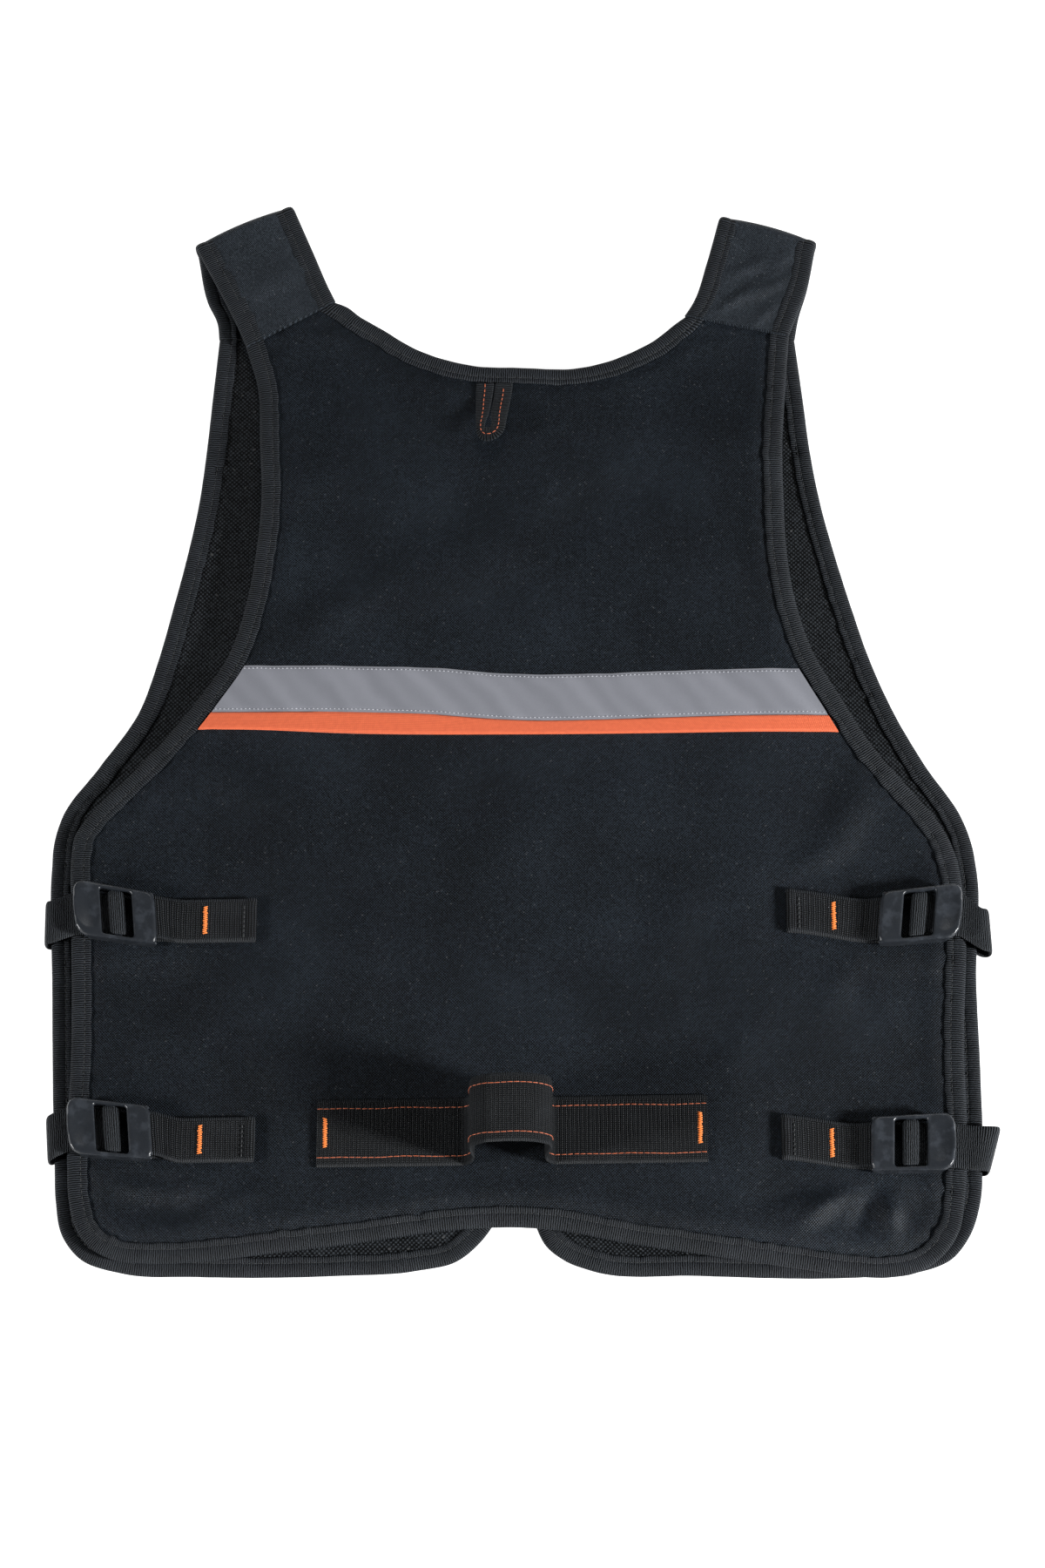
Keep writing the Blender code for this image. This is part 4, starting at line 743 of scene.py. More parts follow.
def triangles(loops, gx, gy, gap, tolerance):
    """Plan points and triangles between loops, with grid points a gap away from them."""
    edge = np.concatenate(loops)
    grid = np.stack([gx.ravel(), gy.ravel()], 1)
    grid = grid[within(grid, loops)]
    grid = grid[nearest(edge, grid)[1] > gap]
    links = []
    for loop in loops:
        base, count = len(links), len(loop)
        links += [(base + i, base + (i + 1) % count) for i in range(count)]
    points = [Vector(point) for point in np.concatenate([edge, grid])]
    result = delaunay_2d_cdt(points, links, [], 1, tolerance)
    xy = np.array([(p.x, p.y) for p in result[0]])
    tri = np.array([face[:3] for face in result[2]])
    tri = tri[within(xy[tri].mean(1), loops)]
    a, b, c = xy[tri[:, 0]], xy[tri[:, 1]], xy[tri[:, 2]]
    turn = (b[:, 0] - a[:, 0]) * (c[:, 1] - a[:, 1]) - (b[:, 1] - a[:, 1]) * (c[:, 0] - a[:, 0])
    tri[turn < 0] = tri[turn < 0][:, [0, 2, 1]]
    return xy, tri


def two_faced(xy, tri, top, low):
    """Vertices and faces of a closed sheet, with a wall along each free edge."""
    total = len(xy)
    vertices = np.concatenate([np.column_stack([xy, top]), np.column_stack([xy, low])])
    faces = tri.tolist() + (tri[:, ::-1] + total).tolist()
    edges = np.concatenate([tri[:, [0, 1]], tri[:, [1, 2]], tri[:, [2, 0]]])
    known = {(int(p), int(q)) for p, q in edges}
    for p, q in known:
        if (q, p) not in known:
            faces += [[q, p, p + total], [q, p + total, q + total]]
    return vertices, faces


def panel(name, outline, surface, spacing, material, lip=None):
    """Closed sheet over a plan outline. lip lowers and puckers it beside the bindings."""
    low = outline.min(0)
    high = outline.max(0)
    rows = np.arange(low[1] + spacing / 2, high[1], spacing * 0.866)
    columns = np.arange(low[0], high[0], spacing)
    gx = np.concatenate([columns + (spacing / 2 if r % 2 else 0.0) for r in range(len(rows))])
    gy = np.repeat(rows, len(columns))
    xy, tri = triangles([outline], gx, gy, spacing * 0.6, 1e-7)
    top = surface(xy[:, 0], xy[:, 1])
    under = top - PANEL_WALL
    if lip is not None:
        place, distance = nearest(outline, xy)
        top = top + lip(distance, lengths(outline)[place])
    return add_piece(name, *two_faced(xy, tri, top, under), material)


# Section of a folded binding: how far in from its outer edge, and its height over the
# middle of the cloth, in millimetres. It runs over the top, round the edge and back.
TAPE_SECTION = (
    (11.00, 1.06), (11.02, 1.55), (10.75, 1.88), (9.90, 2.02), (8.70, 2.00), (7.95, 1.86),
    (7.50, 1.62), (7.05, 1.86), (6.20, 2.06), (4.80, 2.18), (3.40, 2.18), (2.10, 2.02),
    (1.05, 1.62), (0.35, 0.98), (0.00, 0.00),
)
TAPE_INSIDE = ((11.0, -1.0), (1.3, -1.0), (1.1, 0.0), (1.3, 1.0))


def tape(name, place, along, seed, replaces):
    """A folded binding. place turns rows of depth and height into points in space."""
    top = np.array(TAPE_SECTION) * MM
    ring = np.concatenate([top, top[-2::-1] * (1.0, -1.0), np.array(TAPE_INSIDE) * MM])
    around = lengths(np.concatenate([ring, ring[:1]]))
    depth, height = (np.tile(ring[:, k], (len(along), 1)) for k in (0, 1))
    swell = waves(along, (7.3 * MM, 11.9 * MM, 19.0 * MM), seed)
    edge = waves(along, (9.7 * MM, 16.3 * MM, 31.0 * MM), seed + 1)
    inner_half = ease((depth - 3.5 * MM) / (6 * MM))
    height += np.sign(height) * inner_half * swell[:, None] * PUCKER * MM
    depth += inner_half * edge[:, None] * 0.42 * MM
    outer_half = 1 - ease(depth / (5 * MM))
    roll = waves(along, (13.0 * MM, 27.0 * MM), seed + 2)
    height += outer_half * roll[:, None] * 0.18 * MM
    tucks = pinches(along, seed + 3)[:, None]
    height += np.sign(height) * inner_half * tucks
    depth += inner_half * tucks * 0.9
    points = place(depth, height)
    points[..., 2] = np.maximum(points[..., 2], 0.0)
    return swept(name, points, along, around, GROSGRAIN, replaces)


def pinches(along, seed):
    """Small tucks where the sewn tape gathers."""
    random = np.random.default_rng(seed)
    count = max(int(along[-1] / TUCK_RUN), 1)
    places = random.uniform(0, along[-1], count)
    tall = random.uniform(-0.55, 0.75, count) * MM
    wide = random.uniform(1.6, 3.4, count) * MM
    return (np.exp(-((along[:, None] - places) / wide) ** 2) * tall).sum(1)


class Bound:
    """One bound stretch of a panel's edge."""

    def __init__(self, outline, side, surface, first=None, last=None):
        self.line = curve(outline, EDGE_STEP)
        self.along = lengths(self.line)
        self.normal = side_normals(self.line, side)
        for target, off in ((first, self.along), (last, self.along[-1] - self.along)):
            if target is not None:
                goal = unit(np.asarray(target, float))
                self.normal = unit(mix(goal, self.normal, ease(off / END_BLEND)[:, None]))
        self.surface = surface
        self.edge = self.line + self.normal * BINDING_STEP

    def place(self, depth, height):
        plan = self.line[:, None] + self.normal[:, None] * depth[..., None]
        x, y = plan[..., 0], plan[..., 1]
        return np.stack([x, y, self.surface(x, y) - PANEL_WALL / 2 + height], -1)

    def binding(self, name, seed, replaces):
        return tape(name, self.place, self.along, seed, replaces)

    def stitches(self, name):
        return edge_stitches(name, self.place, len(self.line))


def seam_ends(side, row=0):
    """Outer and inner plan points of a row of a strap: its seam, or the next one."""
    shares = STRAPS[side]["upper"][row]
    return spots((shares[:2], shares[2:]))


def back_edges():
    """The bound stretches round the body and round the neck, run on past both ends."""
    left_outer, left_inner = seam_ends("left")
    right_outer, right_inner = seam_ends("right")
    body = [left_outer, *spots((left, y) for y, left, _ in BACK_SIDES[1:]), *spots(BACK_HEM),
            *spots((right, y) for y, _, right in BACK_SIDES[:0:-1]), right_outer]
    neck = [left_inner, *spots(BACK_NECK), right_inner]
    left, right = left_inner - left_outer, right_inner - right_outer
    edges = []
    for path, side in ((body, 1), (neck, -1)):
        path[0] = path[0] - unit(path[1] - path[0]) * RUN_ON
        path[-1] = path[-1] - unit(path[-2] - path[-1]) * RUN_ON
        edges.append(Bound(path, side, back_top, left * side, right * side))
    return edges


def strap_tongue(side):
    """The back panel's outline where it runs in between the strap's bindings."""
    outer, inner = seam_ends(side)
    next_outer, next_inner = seam_ends(side, 1)
    margin = BINDING_WIDTH + 1.2 * MM
    run = unit(inner - outer)
    next_run = unit(next_inner - next_outer)
    step = unit(next_outer - outer) * SEAM_GAP
    return np.array((outer + run * margin - step, next_outer + next_run * margin,
                     next_inner - next_run * margin, inner - run * margin - step))


def back_lip(distance, place):
    """The cloth dips at the tape's inner edge and puffs a little beyond it."""
    past = distance - 10 * MM
    dip = -0.45 * MM * np.exp(-(past / (2.2 * MM)) ** 2)
    puff = 0.55 * MM * np.exp(-((past - 7 * MM) / (5 * MM)) ** 2)
    pull = waves(place, (8.1 * MM, 12.7 * MM, 23.0 * MM), 5)
    pucker = 0.28 * MM * pull * np.exp(-np.maximum(past, 0) / (6 * MM))
    return np.where(distance > 6 * MM, dip + puff + pucker, 0.0)


# Stitches

def stitch_template(segments=6, rings=5):
    """One short thread, bowed up in its middle, with its ends in the cloth."""
    rows = []
    for ring in range(rings):
        share = ring / (rings - 1)
        rise = math.sin(math.pi * share) ** 0.6 * 0.75
        radius = 0.45 + 0.55 * math.sin(math.pi * min(max(share, 0.12), 0.88)) ** 0.5
        for segment in range(segments):
            angle = 2 * math.pi * segment / segments
            rows.append((share - 0.5, math.cos(angle) * radius,
                         rise + math.sin(angle) * radius))
    return np.array(rows), ring_faces(rings, segments)


def stitches(name, starts, ends, radius, material, normals=(0, 0, 1)):
    """Many short threads between pairs of points, joined in one settled mesh."""
    normals = unit(np.broadcast_to(np.asarray(normals, float), starts.shape))
    template, faces = stitch_template()
    run = ends - starts
    long = np.linalg.norm(run, axis=1, keepdims=True)
    run = run / np.maximum(long, 1e-9)
    beside = unit(np.cross(normals, run))
    over = np.cross(run, beside)
    along, wide, high = (
        template[None, :, k, None] * (scale * axis)[:, None]
        for k, scale, axis in ((0, long, run), (1, radius, beside), (2, radius, over)))
    vertices = ((starts + ends) / 2)[:, None] + along + wide + high
    size = len(template)
    all_faces = [[index * size + v for v in face]
                 for index in range(len(starts)) for face in faces]
    return settle(add_piece(name, vertices.reshape(-1, 3), all_faces, material, None, 80))


def dashes(line, length, gap, jitter=0.0):
    """Start and end points of dashes along a line."""
    travelled = lengths(line)
    count = int(travelled[-1] / (length + gap))
    begin = np.arange(count) * (length + gap) + gap / 2
    shift = np.random.default_rng(3).uniform(-1, 1, (count, 3)) * jitter

    def at(places):
        return np.stack([np.interp(places, travelled, line[:, k]) for k in range(3)], 1)

    return at(begin) + shift, at(begin + length) + shift[::-1]


def edge_stitches(name, place, count, last=None):
    """A line of dark stitches along a binding, as far as the last station."""
    depth = np.full((count, 1), SEAM_DEPTH)
    height = np.full((count, 1), SEAM_HEIGHT)
    line = even(place(depth, height)[:last, 0], SEAM_STEP)
    starts, ends = dashes(line, STITCH_LENGTH, STITCH_GAP)
    return stitches(name, starts, ends, THREAD_RADIUS, DARK_THREAD)


# Pieces of the back and the front

def make_back():
    body, neck = back_edges()
    outline = np.concatenate([body.edge, strap_tongue("right"), neck.edge[::-1],
                              strap_tongue("left")[::-1]])
    spacing = 3.4 * MM
    back = panel("back_cloth", outline, back_top, spacing, SHELL, back_lip)
    settle(back, ("back_panel",))
    bound = body.binding("back_tape", 11, "back_binding")
    collar = neck.binding("neck_tape", 23, "neck_binding")
    threads = [body.stitches("back_tape_stitches"), neck.stitches("neck_tape_stitches")]
    return body


def make_front(side):
    column, turn = (1, 1) if side == "left" else (2, -1)
    path = spots((row[column], row[0]) for row in FRONT_EDGES)
    path[0] = path[0] - (0, SEAM_GAP)
    bound = Bound(path, turn, front_top, (turn, 0))
    free = spots((row[column], row[0]) for row in FRONT_INNER)
    free[-1] = free[-1] - (0, SEAM_GAP)
    dense = even(np.array([bound.edge[-1], *free, bound.edge[0]]), 6 * MM)[1:-1]
    outline = np.concatenate([bound.edge, dense])
    cloth = panel("front_cloth_" + side, outline, front_top, 7 * MM, LINING)
    settle(cloth, ("front_panel_" + side,))
    edge = bound.binding("front_tape_" + side, 31 + column, "front_binding_" + side)
    thread = bound.stitches("front_tape_stitches_" + side)


def closed_strip(top, bottom):
    """Rings of a flat piece from rows of points over and under it."""
    return np.concatenate([top, bottom[:, ::-1]], axis=1)


def there_and_back(share, width):
    return np.concatenate([share * width, share[::-1] * width, [0.0]])


# How far the bands hang below a straight line: share along them, and millimetres
ORANGE_DROPS = ((0.0, 0.5), (0.05, 1.0), (0.22, 4.2), (0.50, 4.9), (0.74, 4.0), (0.97, 2.4),
                (1.0, 2.2))
BAND_DROPS = ((0.0, 0.3), (0.05, 0.8), (0.22, 1.6), (0.36, 3.0), (0.45, 5.6), (0.53, 6.7),
              (0.62, 6.2), (0.74, 4.8), (0.97, 2.4), (1.0, 2.2))


def make_band(name, top_drop, width, wall, material, body, replaces, slot, ripple, crown):
    side_points = body.line + body.normal * BINDING_WIDTH
    armhole = side_points[(side_points[:, 1] > up(0.45)) & (side_points[:, 1] < up(0.62))]
    left_side, right_side = (
        points[np.argsort(points[:, 1])]
        for points in (armhole[armhole[:, 0] < 0], armhole[armhole[:, 0] > 0]))
    levels = np.linspace(0, 1, 14)
    share = np.linspace(0, 1, 150)
    upper, lower = (
        np.interp(share, *curve([(at, drop * MM) for at, drop in drops], 0.01).T)
        for drops in (BAND_DROPS, ORANGE_DROPS))
    rows = []
    for level in levels:
        drop = up(BAND_TOP_UP) - top_drop - width * level
        left = np.interp(drop, left_side[:, 1], left_side[:, 0]) + BAND_END_GAP * 0.2
        right = np.interp(drop, right_side[:, 1], right_side[:, 0]) - BAND_END_GAP * 0.2
        sag = mix(upper, lower, level) if slot == "orange" else upper
        rows.append(np.stack([mix(left, right, share), drop - sag], 1))
    plan = np.array(rows).transpose(1, 0, 2)
    x, y = plan[..., 0], plan[..., 1]
    ground = back_top(x, y)
    bulge = (1 - np.abs(2 * levels - 1) ** 10) ** 0.5
    soft = waves(x * 0.82 + y * 0.57, (17 * MM, 29 * MM, 53 * MM), 7) * ripple
    lift = CLEARANCE + wall * (0.55 + 0.45 * bulge)[None, :] + soft + crown * (bulge ** 2)[None, :]
    top = np.stack([x, y, ground + lift], -1)
    below = np.stack([x, y, ground + 0.1 * MM], -1)
    along = share * (x[-1].mean() - x[0].mean())
    piece = swept(name, closed_strip(top, below), along, there_and_back(levels, width),
                  material, replaces)
    return top


def make_bands(body):
    grey = make_band("reflective_band", 0.0, REFLECTIVE_WIDTH, BAND_WALL * 0.8, REFLECTIVE, body,
                     "reflective_tape", "reflective", 0.50 * MM, 0.05 * MM)
    make_band("orange_band", REFLECTIVE_WIDTH + CLEARANCE * 0.3, ORANGE_WIDTH, BAND_WALL, ORANGE,
              body, "orange_tape", "orange", 0.10 * MM, 0.15 * MM)
    pairs = []
    for depth in (1.8 * MM, REFLECTIVE_WIDTH - 1.6 * MM):
        column = depth / REFLECTIVE_WIDTH * (grey.shape[1] - 1)
        low = int(column)
        line = mix(grey[:, low], grey[:, low + 1], column - low)
        pairs.append(dashes(line, 0.95 * MM, 1.45 * MM, 0.08 * MM))
    starts, ends = (np.concatenate(points) for points in zip(*pairs))
    stitches("band_stitches", starts, ends, 0.26 * MM, WHITE_THREAD)


def strap_rows(side):
    """Outer and inner points and normals from the seam over the fold to the front."""
    rows = STRAPS[side]
    radius = (STRAP_HIGH - STRAP_LOW) / 2
    middle = (STRAP_HIGH + STRAP_LOW) / 2

    def flat(row, level):
        return [np.array((*spot, level)) for spot in spots((row[:2], row[2:]))]

    fold_outer, fold_inner = flat(rows["fold"], 0.0)
    run = unit(fold_inner - fold_outer)
    away = np.array((-run[1], run[0], 0.0))
    if away[1] < 0:
        away = -away
    axis = [point - away * (radius + STRAP_WALL / 2 + BINDING_STEP)
            for point in (fold_outer, fold_inner)]

    def joined(key, level):
        pairs = [flat(row, level) for row in rows[key]]
        ends = [[point + (0, 0, level) for point in axis]]
        pairs = pairs + ends if key == "upper" else ends + pairs
        lines = [curve(points, STRAP_STEP) for points in zip(*pairs)]
        t = np.linspace(0, 1, max(len(line) for line in lines))
        return [np.stack([np.interp(t, np.linspace(0, 1, len(line)), line[:, k])
                          for k in range(3)], 1) for line in lines]

    tops = joined("upper", STRAP_HIGH)
    lows = joined("lower", STRAP_LOW)
    turns = np.linspace(0, math.pi, 15)[1:-1]
    bend = away[None] * np.sin(turns)[:, None] * radius
    bend[:, 2] += middle + radius * np.cos(turns)
    outer, inner = (np.concatenate([top, start + bend, low])
                    for top, start, low in zip(tops, axis, lows))
    normal = np.concatenate([
        np.tile(UPRIGHT, (len(tops[0]), 1)),
        away[None] * np.sin(turns)[:, None] + UPRIGHT[None] * np.cos(turns)[:, None],
        np.tile(-UPRIGHT, (len(lows[0]), 1))])
    fold = np.concatenate([
        ease(np.linspace(-1.5, 1, len(tops[0]))), np.ones(len(turns)),
        ease(np.linspace(1, -1.5, len(lows[0])))])
    return outer, inner, normal, away, fold, len(tops[0])


# Soft folds of a strap: share along it from the seam to the fold, share across from its
# outer edge, direction in degrees, length, half width and height in millimetres
STRAP_FOLDS = {
    "left": ((0.42, 0.50, 90, 84, 10, 1.0), (0.62, 0.55, 20, 40, 8, 0.5),
             (0.30, 0.45, -30, 36, 7, 0.5), (0.80, 0.30, 60, 26, 6, 0.4)),
    "right": ((0.30, 0.60, -38, 50, 4.5, 1.9), (0.42, 0.38, -46, 48, 4.5, 1.8),
              (0.60, 0.62, -55, 44, 5, 1.5), (0.16, 0.30, -25, 36, 4.5, 1.2),
              (0.75, 0.30, -30, 34, 6, 1.0)),
}


def make_strap(side):
    outer, inner, normal, away, fold, upper = strap_rows(side)
    along = lengths((outer + inner) / 2)
    run = unit(inner - outer)
    share = np.linspace(0, 1, 30)
    arch = 1 - (2 * share - 1) ** 2
    cloth_outer = outer + run * BINDING_STEP
    cloth_inner = inner - run * BINDING_STEP
    flat = cloth_outer[:, None] + (cloth_inner - cloth_outer)[:, None] * share[None, :, None]
    span = np.linalg.norm(inner - outer, axis=1)
    wrinkle = np.zeros(flat.shape[:2])
    for place, offset, angle, length, half_width, height in STRAP_FOLDS[side]:
        dx = along[:, None] - place * along[upper - 1] + 0 * wrinkle
        dy = share[None, :] * span[:, None] - offset * span.mean()
        wrinkle += fold_shape(dx, dy, angle, length * MM, half_width * MM) * height * MM
    near_edge = ease(np.minimum(share, 1 - share) * span.mean() / STRAP_EDGE)[None, :]
    puff = STRAP_PUFF * arch[None, :] ** 0.7
    thick = normal[:, None] * (STRAP_WALL / 2 + puff + wrinkle * near_edge)[..., None]
    bowed = away[None, None] * (fold[:, None] * arch[None, :] * STRAP_BOW)[..., None]
    rings = closed_strip(flat + thick + bowed, flat - normal[:, None] * (STRAP_WALL / 2) + bowed)
    cloth = swept("strap_cloth_" + side, rings, along, there_and_back(share, span.mean()),
                  STRAP_CLOTH, "shoulder_strap_" + side)
    for label, edge, direction, seed in (("outer", outer, run, 49), ("inner", inner, -run, 46)):

        def put(depth, height, edge=edge, direction=direction):
            return (edge[:, None] + direction[:, None] * depth[..., None]
                    + normal[:, None] * height[..., None])

        which = label + "_" + side
        seed += 7 if side == "left" else 0
        tape("strap_tape_" + which, put, lengths(edge), seed,
                           "strap_binding_" + which)
        edge_stitches("strap_tape_stitches_" + which, put, len(edge), upper + 6)


# Closure, hang loop, tool webbing and side webbing

def ribbon(name, left, right, normal, wall, material, replaces, columns):
    """Webbing between rows of left and right points."""
    share = (1 - np.cos(np.linspace(0, math.pi, columns))) / 2
    bulge = (1 - np.abs(2 * share - 1) ** 12) ** 0.5
    normal = np.broadcast_to(normal, left.shape)
    half = normal[:, None] * (wall / 2 * np.maximum(bulge, 0.25))[None, :, None]
    middle = left[:, None] + (right - left)[:, None] * share[None, :, None]
    width = np.linalg.norm(right - left, axis=1).mean()
    return swept(name, closed_strip(middle + half, middle - half), lengths((left + right) / 2),
                 there_and_back(share, width), material, replaces)


def make_closure():
    y = np.linspace(up(CLOSURE_BOTTOM_UP), up(CLOSURE_TOP_UP), 60)
    height = front_top(0 * y, y) + CLEARANCE + CLOSURE_WALL / 2
    left, right = (np.stack([np.full_like(y, x), y, height], 1)
                   for x in (-CLOSURE_WIDTH / 2, CLOSURE_WIDTH / 2))
    piece = ribbon("closure_strip", left, right, UPRIGHT, CLOSURE_WALL, SIDE_WEBBING,
                   "front_closure", 14)


def make_hang_loop():
    top = up(HANG_TOP_UP) - BINDING_WIDTH - 2 * CLEARANCE
    turn_y = top - HANG_LENGTH + HANG_TAPE_WIDTH + HANG_SLIT / 2
    radii = np.array((HANG_SLIT / 2 + HANG_TAPE_WIDTH, HANG_SLIT / 2))
    legs = mix(top, turn_y, np.linspace(0, 1, 16)[:-1])
    turns = np.linspace(math.pi, 2 * math.pi, 25)
    across_loop = np.concatenate([-np.ones(15), np.cos(turns), np.ones(15)])
    rows_x = across_loop[:, None] * radii
    rows_y = np.concatenate([np.stack([legs, legs], 1), turn_y + np.sin(turns)[:, None] * radii,
                             np.stack([legs, legs], 1)[::-1]])
    down = np.clip((top - rows_y) / HANG_LENGTH, 0, 1)
    side = np.clip(rows_x / radii[0], -1, 1)
    narrow = np.where(side < 0, 1 - 0.40 * ease(down * 1.05), 1.0 - 0.04 * down)
    sway = HANG_SWAY * down ** 1.3 * (1 - 0.35 * down ** 4)
    slit = HANG_OPEN * np.exp(-((down - 0.70) / 0.13) ** 2) * (np.abs(side) < 0.2)
    x = HANG_MIDDLE + rows_x * narrow + slit * np.sign(rows_x) - sway
    start = back_top(HANG_MIDDLE, top) + 2 * CLEARANCE
    end = back_top(HANG_MIDDLE, top - HANG_LENGTH) + HANG_LIFT
    z = mix(start, end, ease(down * 0.9)) + HANG_WALL / 2 + 1.6 * MM * (side + 1) * down
    points = np.stack([x, rows_y, z], -1)
    left, right = points[:, 0], points[:, 1]
    piece = ribbon("hang_tape", left, right, UPRIGHT, HANG_WALL, NARROW_TAPE, "hang_loop", 12)
    line = even((left + right) / 2 + (0, 0, HANG_WALL / 2 - 0.1 * MM), 1 * MM)
    starts, ends = dashes(line, STITCH_LENGTH, 1.2 * MM, 0.1 * MM)
    thread = stitches("hang_stitches", starts, ends, 0.26 * MM, RUST_THREAD)
    flat_length = float(lengths(left * 0.35 + right * 0.65)[-1])


def tool_path():
    """Middle line of the tool webbing in its upright plane, and its normals."""
    ground = float(cad_back_top(np.array(0.0), np.array(tool_line(0.0))))
    ground += CLEARANCE + TOOL_WEBBING_WALL / 2
    crest = ground + LOOP_HEIGHT - LOOP_BEND
    low = ground + 0.25 * MM

    def bent(middle, angles):
        turns = [math.radians(angle) for angle in angles]
        return [(middle + LOOP_BEND * math.cos(turn), crest + LOOP_BEND * math.sin(turn))
                for turn in turns]

    path = [(TOOL_LEFT, ground), (TOOL_LEFT + 30 * MM, ground), (LOOP_LEFT - 3 * LOOP_FOOT, ground),
            (LOOP_LEFT - LOOP_FOOT * 0.8, low), (LOOP_LEFT, ground + LOOP_FOOT)]
    path += bent(LOOP_LEFT + LOOP_BEND + LOOP_LEAN, (180, 150, 120))
    shoulder = path[-1][1]
    half = (LOOP_RIGHT - LOOP_LEFT) / 2
    path += [(LOOP_LEFT + half + share * half, shoulder + LOOP_ARCH * (1 - share ** 2))
             for share in (-0.60, -0.25, 0.25, 0.60)]
    path += bent(LOOP_RIGHT - LOOP_BEND, (60, 30, 0))
    path += [(LOOP_RIGHT, ground + LOOP_FOOT), (LOOP_RIGHT + LOOP_FOOT * 0.8, low),
             (LOOP_RIGHT + 3 * LOOP_FOOT, ground), (TOOL_RIGHT - 30 * MM, ground),
             (TOOL_RIGHT, ground)]
    line = curve(path, 1.5 * MM)
    return line, side_normals(line, 1)


def make_tool_webbing():
    line, flat_normal = tool_path()
    x, z = line[:, 0], line[:, 1]
    middle = tool_line(x)
    along = lengths(line)
    half = TOOL_WEBBING_WIDTH / 2
    left, right = (np.stack([x, middle + offset, z], 1) for offset in (-half, half))
    normal = np.stack([flat_normal[:, 0], 0 * x, flat_normal[:, 1]], 1)
    piece = ribbon("tool_webbing_weave", left, right, normal, TOOL_WEBBING_WALL, WIDE_WEBBING,
                   "tool_webbing", 26)
    pairs = []
    for share in (0.86, 0.14):
        row = left + (right - left) * share + normal * (TOOL_WEBBING_WALL / 2 - 0.05 * MM)
        row[:, 1] -= waves(along, (60 * MM, 33 * MM), 9) * 0.35 * MM
        pairs.append(dashes(even(row, 1 * MM), 3.0 * MM, 0.45 * MM, 0.10 * MM))
    starts, ends = (np.concatenate(points) for points in zip(*pairs))
    near = [int(np.argmin((x - p[0]) ** 2 + (z - p[2]) ** 2)) for p in (starts + ends) / 2]
    threads = [stitches("tool_stitches", starts, ends, 0.24 * MM, RUST_THREAD, normal[near])]
    for side, place, ground, length in (("left", -106.6 * MM, z[0], 16.5 * MM),
                                        ("right", 95.9 * MM, z[-1], 17.5 * MM)):
        spot = (place, tool_line(place) + 0.2 * MM, ground + TOOL_WEBBING_WALL / 2)
        threads.append(bar_tack("tool_tack_" + side, spot, length))


def bar_tack(name, middle, length):
    """Dense zigzag of bright thread across the webbing."""
    count = int(length / TACK_STEP) + 1
    places = np.linspace(-length / 2, length / 2, count)
    side = np.where(np.arange(count) % 2 == 0, -1.0, 1.0) * TACK_WIDTH / 2
    side += np.random.default_rng(len(name)).uniform(-0.25, 0.25, count) * MM
    points = np.array(middle) + np.stack([side, places, np.full(count, -0.05 * MM)], 1)
    return stitches(name, points[:-1], points[1:], TACK_RADIUS, BRIGHT_THREAD)


class SideSet:
    """One webbing set, with places given inwards from the edge, along Y and upwards."""

    def __init__(self, row):
        self.row = row
        self.side = math.copysign(1.0, row["edge"])
        self.edge = across(row["edge"])
        self.middle = up(row["up"])
        self.front = abs(across(row["front"])) - abs(self.edge)
        self.angle = math.radians(row["turn"])
        self.pivot = row["buckle"] + BUCKLE_LENGTH / 2

    def level(self, inwards, above):
        return BACK_EDGE_TOP + STRAP_RISE + PLATE_SLOPE * np.maximum(inwards, 0.0) + above

    def place(self, inwards, beside, height, amount=1.0, drift=0.0):
        angle = self.angle * amount
        along = inwards - self.pivot
        limit = BUCKLE_LENGTH / 2
        inner = np.clip(along, -limit, limit)
        x = self.pivot + inner * math.cos(self.angle) + (along - inner) - beside * np.sin(angle)
        y = -math.sin(self.angle) * inner + beside * np.cos(angle)
        return np.stack([self.edge - self.side * x, self.middle + y + drift, height + 0 * x], -1)

    def share(self, inwards):
        along = inwards - self.pivot
        start = BUCKLE_LENGTH / 2 - np.where(along < 0, DRIFT_START, -CLEARANCE)
        run = np.where(along < 0, BEND_RUN, self.row["tab_run"])
        return 1 - ease((np.abs(along) - start) / run)

    def drift(self, inwards):
        along = inwards - self.pivot
        target = np.where(along > 0, self.row["tab_off"], self.row["bend_off"])
        held = -math.sin(self.angle) * np.sign(along) * (BUCKLE_LENGTH / 2)
        return (target - held) * (1 - self.share(inwards))

    def laid(self, inwards, beside, height):
        """Points on webbing, which turns and drifts away from the buckle's direction."""
        return self.place(inwards, beside, height, self.share(inwards), self.drift(inwards))

    def webbing(self, name, path, material, replaces, skew=0.0, flip=False):
        """A settled piece along inward places and heights, and its length."""
        inwards, height = path[:, 0], path[:, 1]
        normal = side_normals(path, 1)
        left, right = (self.laid(inwards, beside, height)
                       for beside in (-WEBBING_WIDTH / 2, WEBBING_WIDTH / 2))
        right[:, 0] += self.side * skew
        facing = np.stack([-self.side * normal[:, 0], 0 * inwards, normal[:, 1]], 1)
        if flip:
            left, right = right, left
        piece = ribbon(name, left, right, facing, WEBBING_WALL, material, replaces, 18)
        return piece, float(lengths((left + right) / 2)[-1])


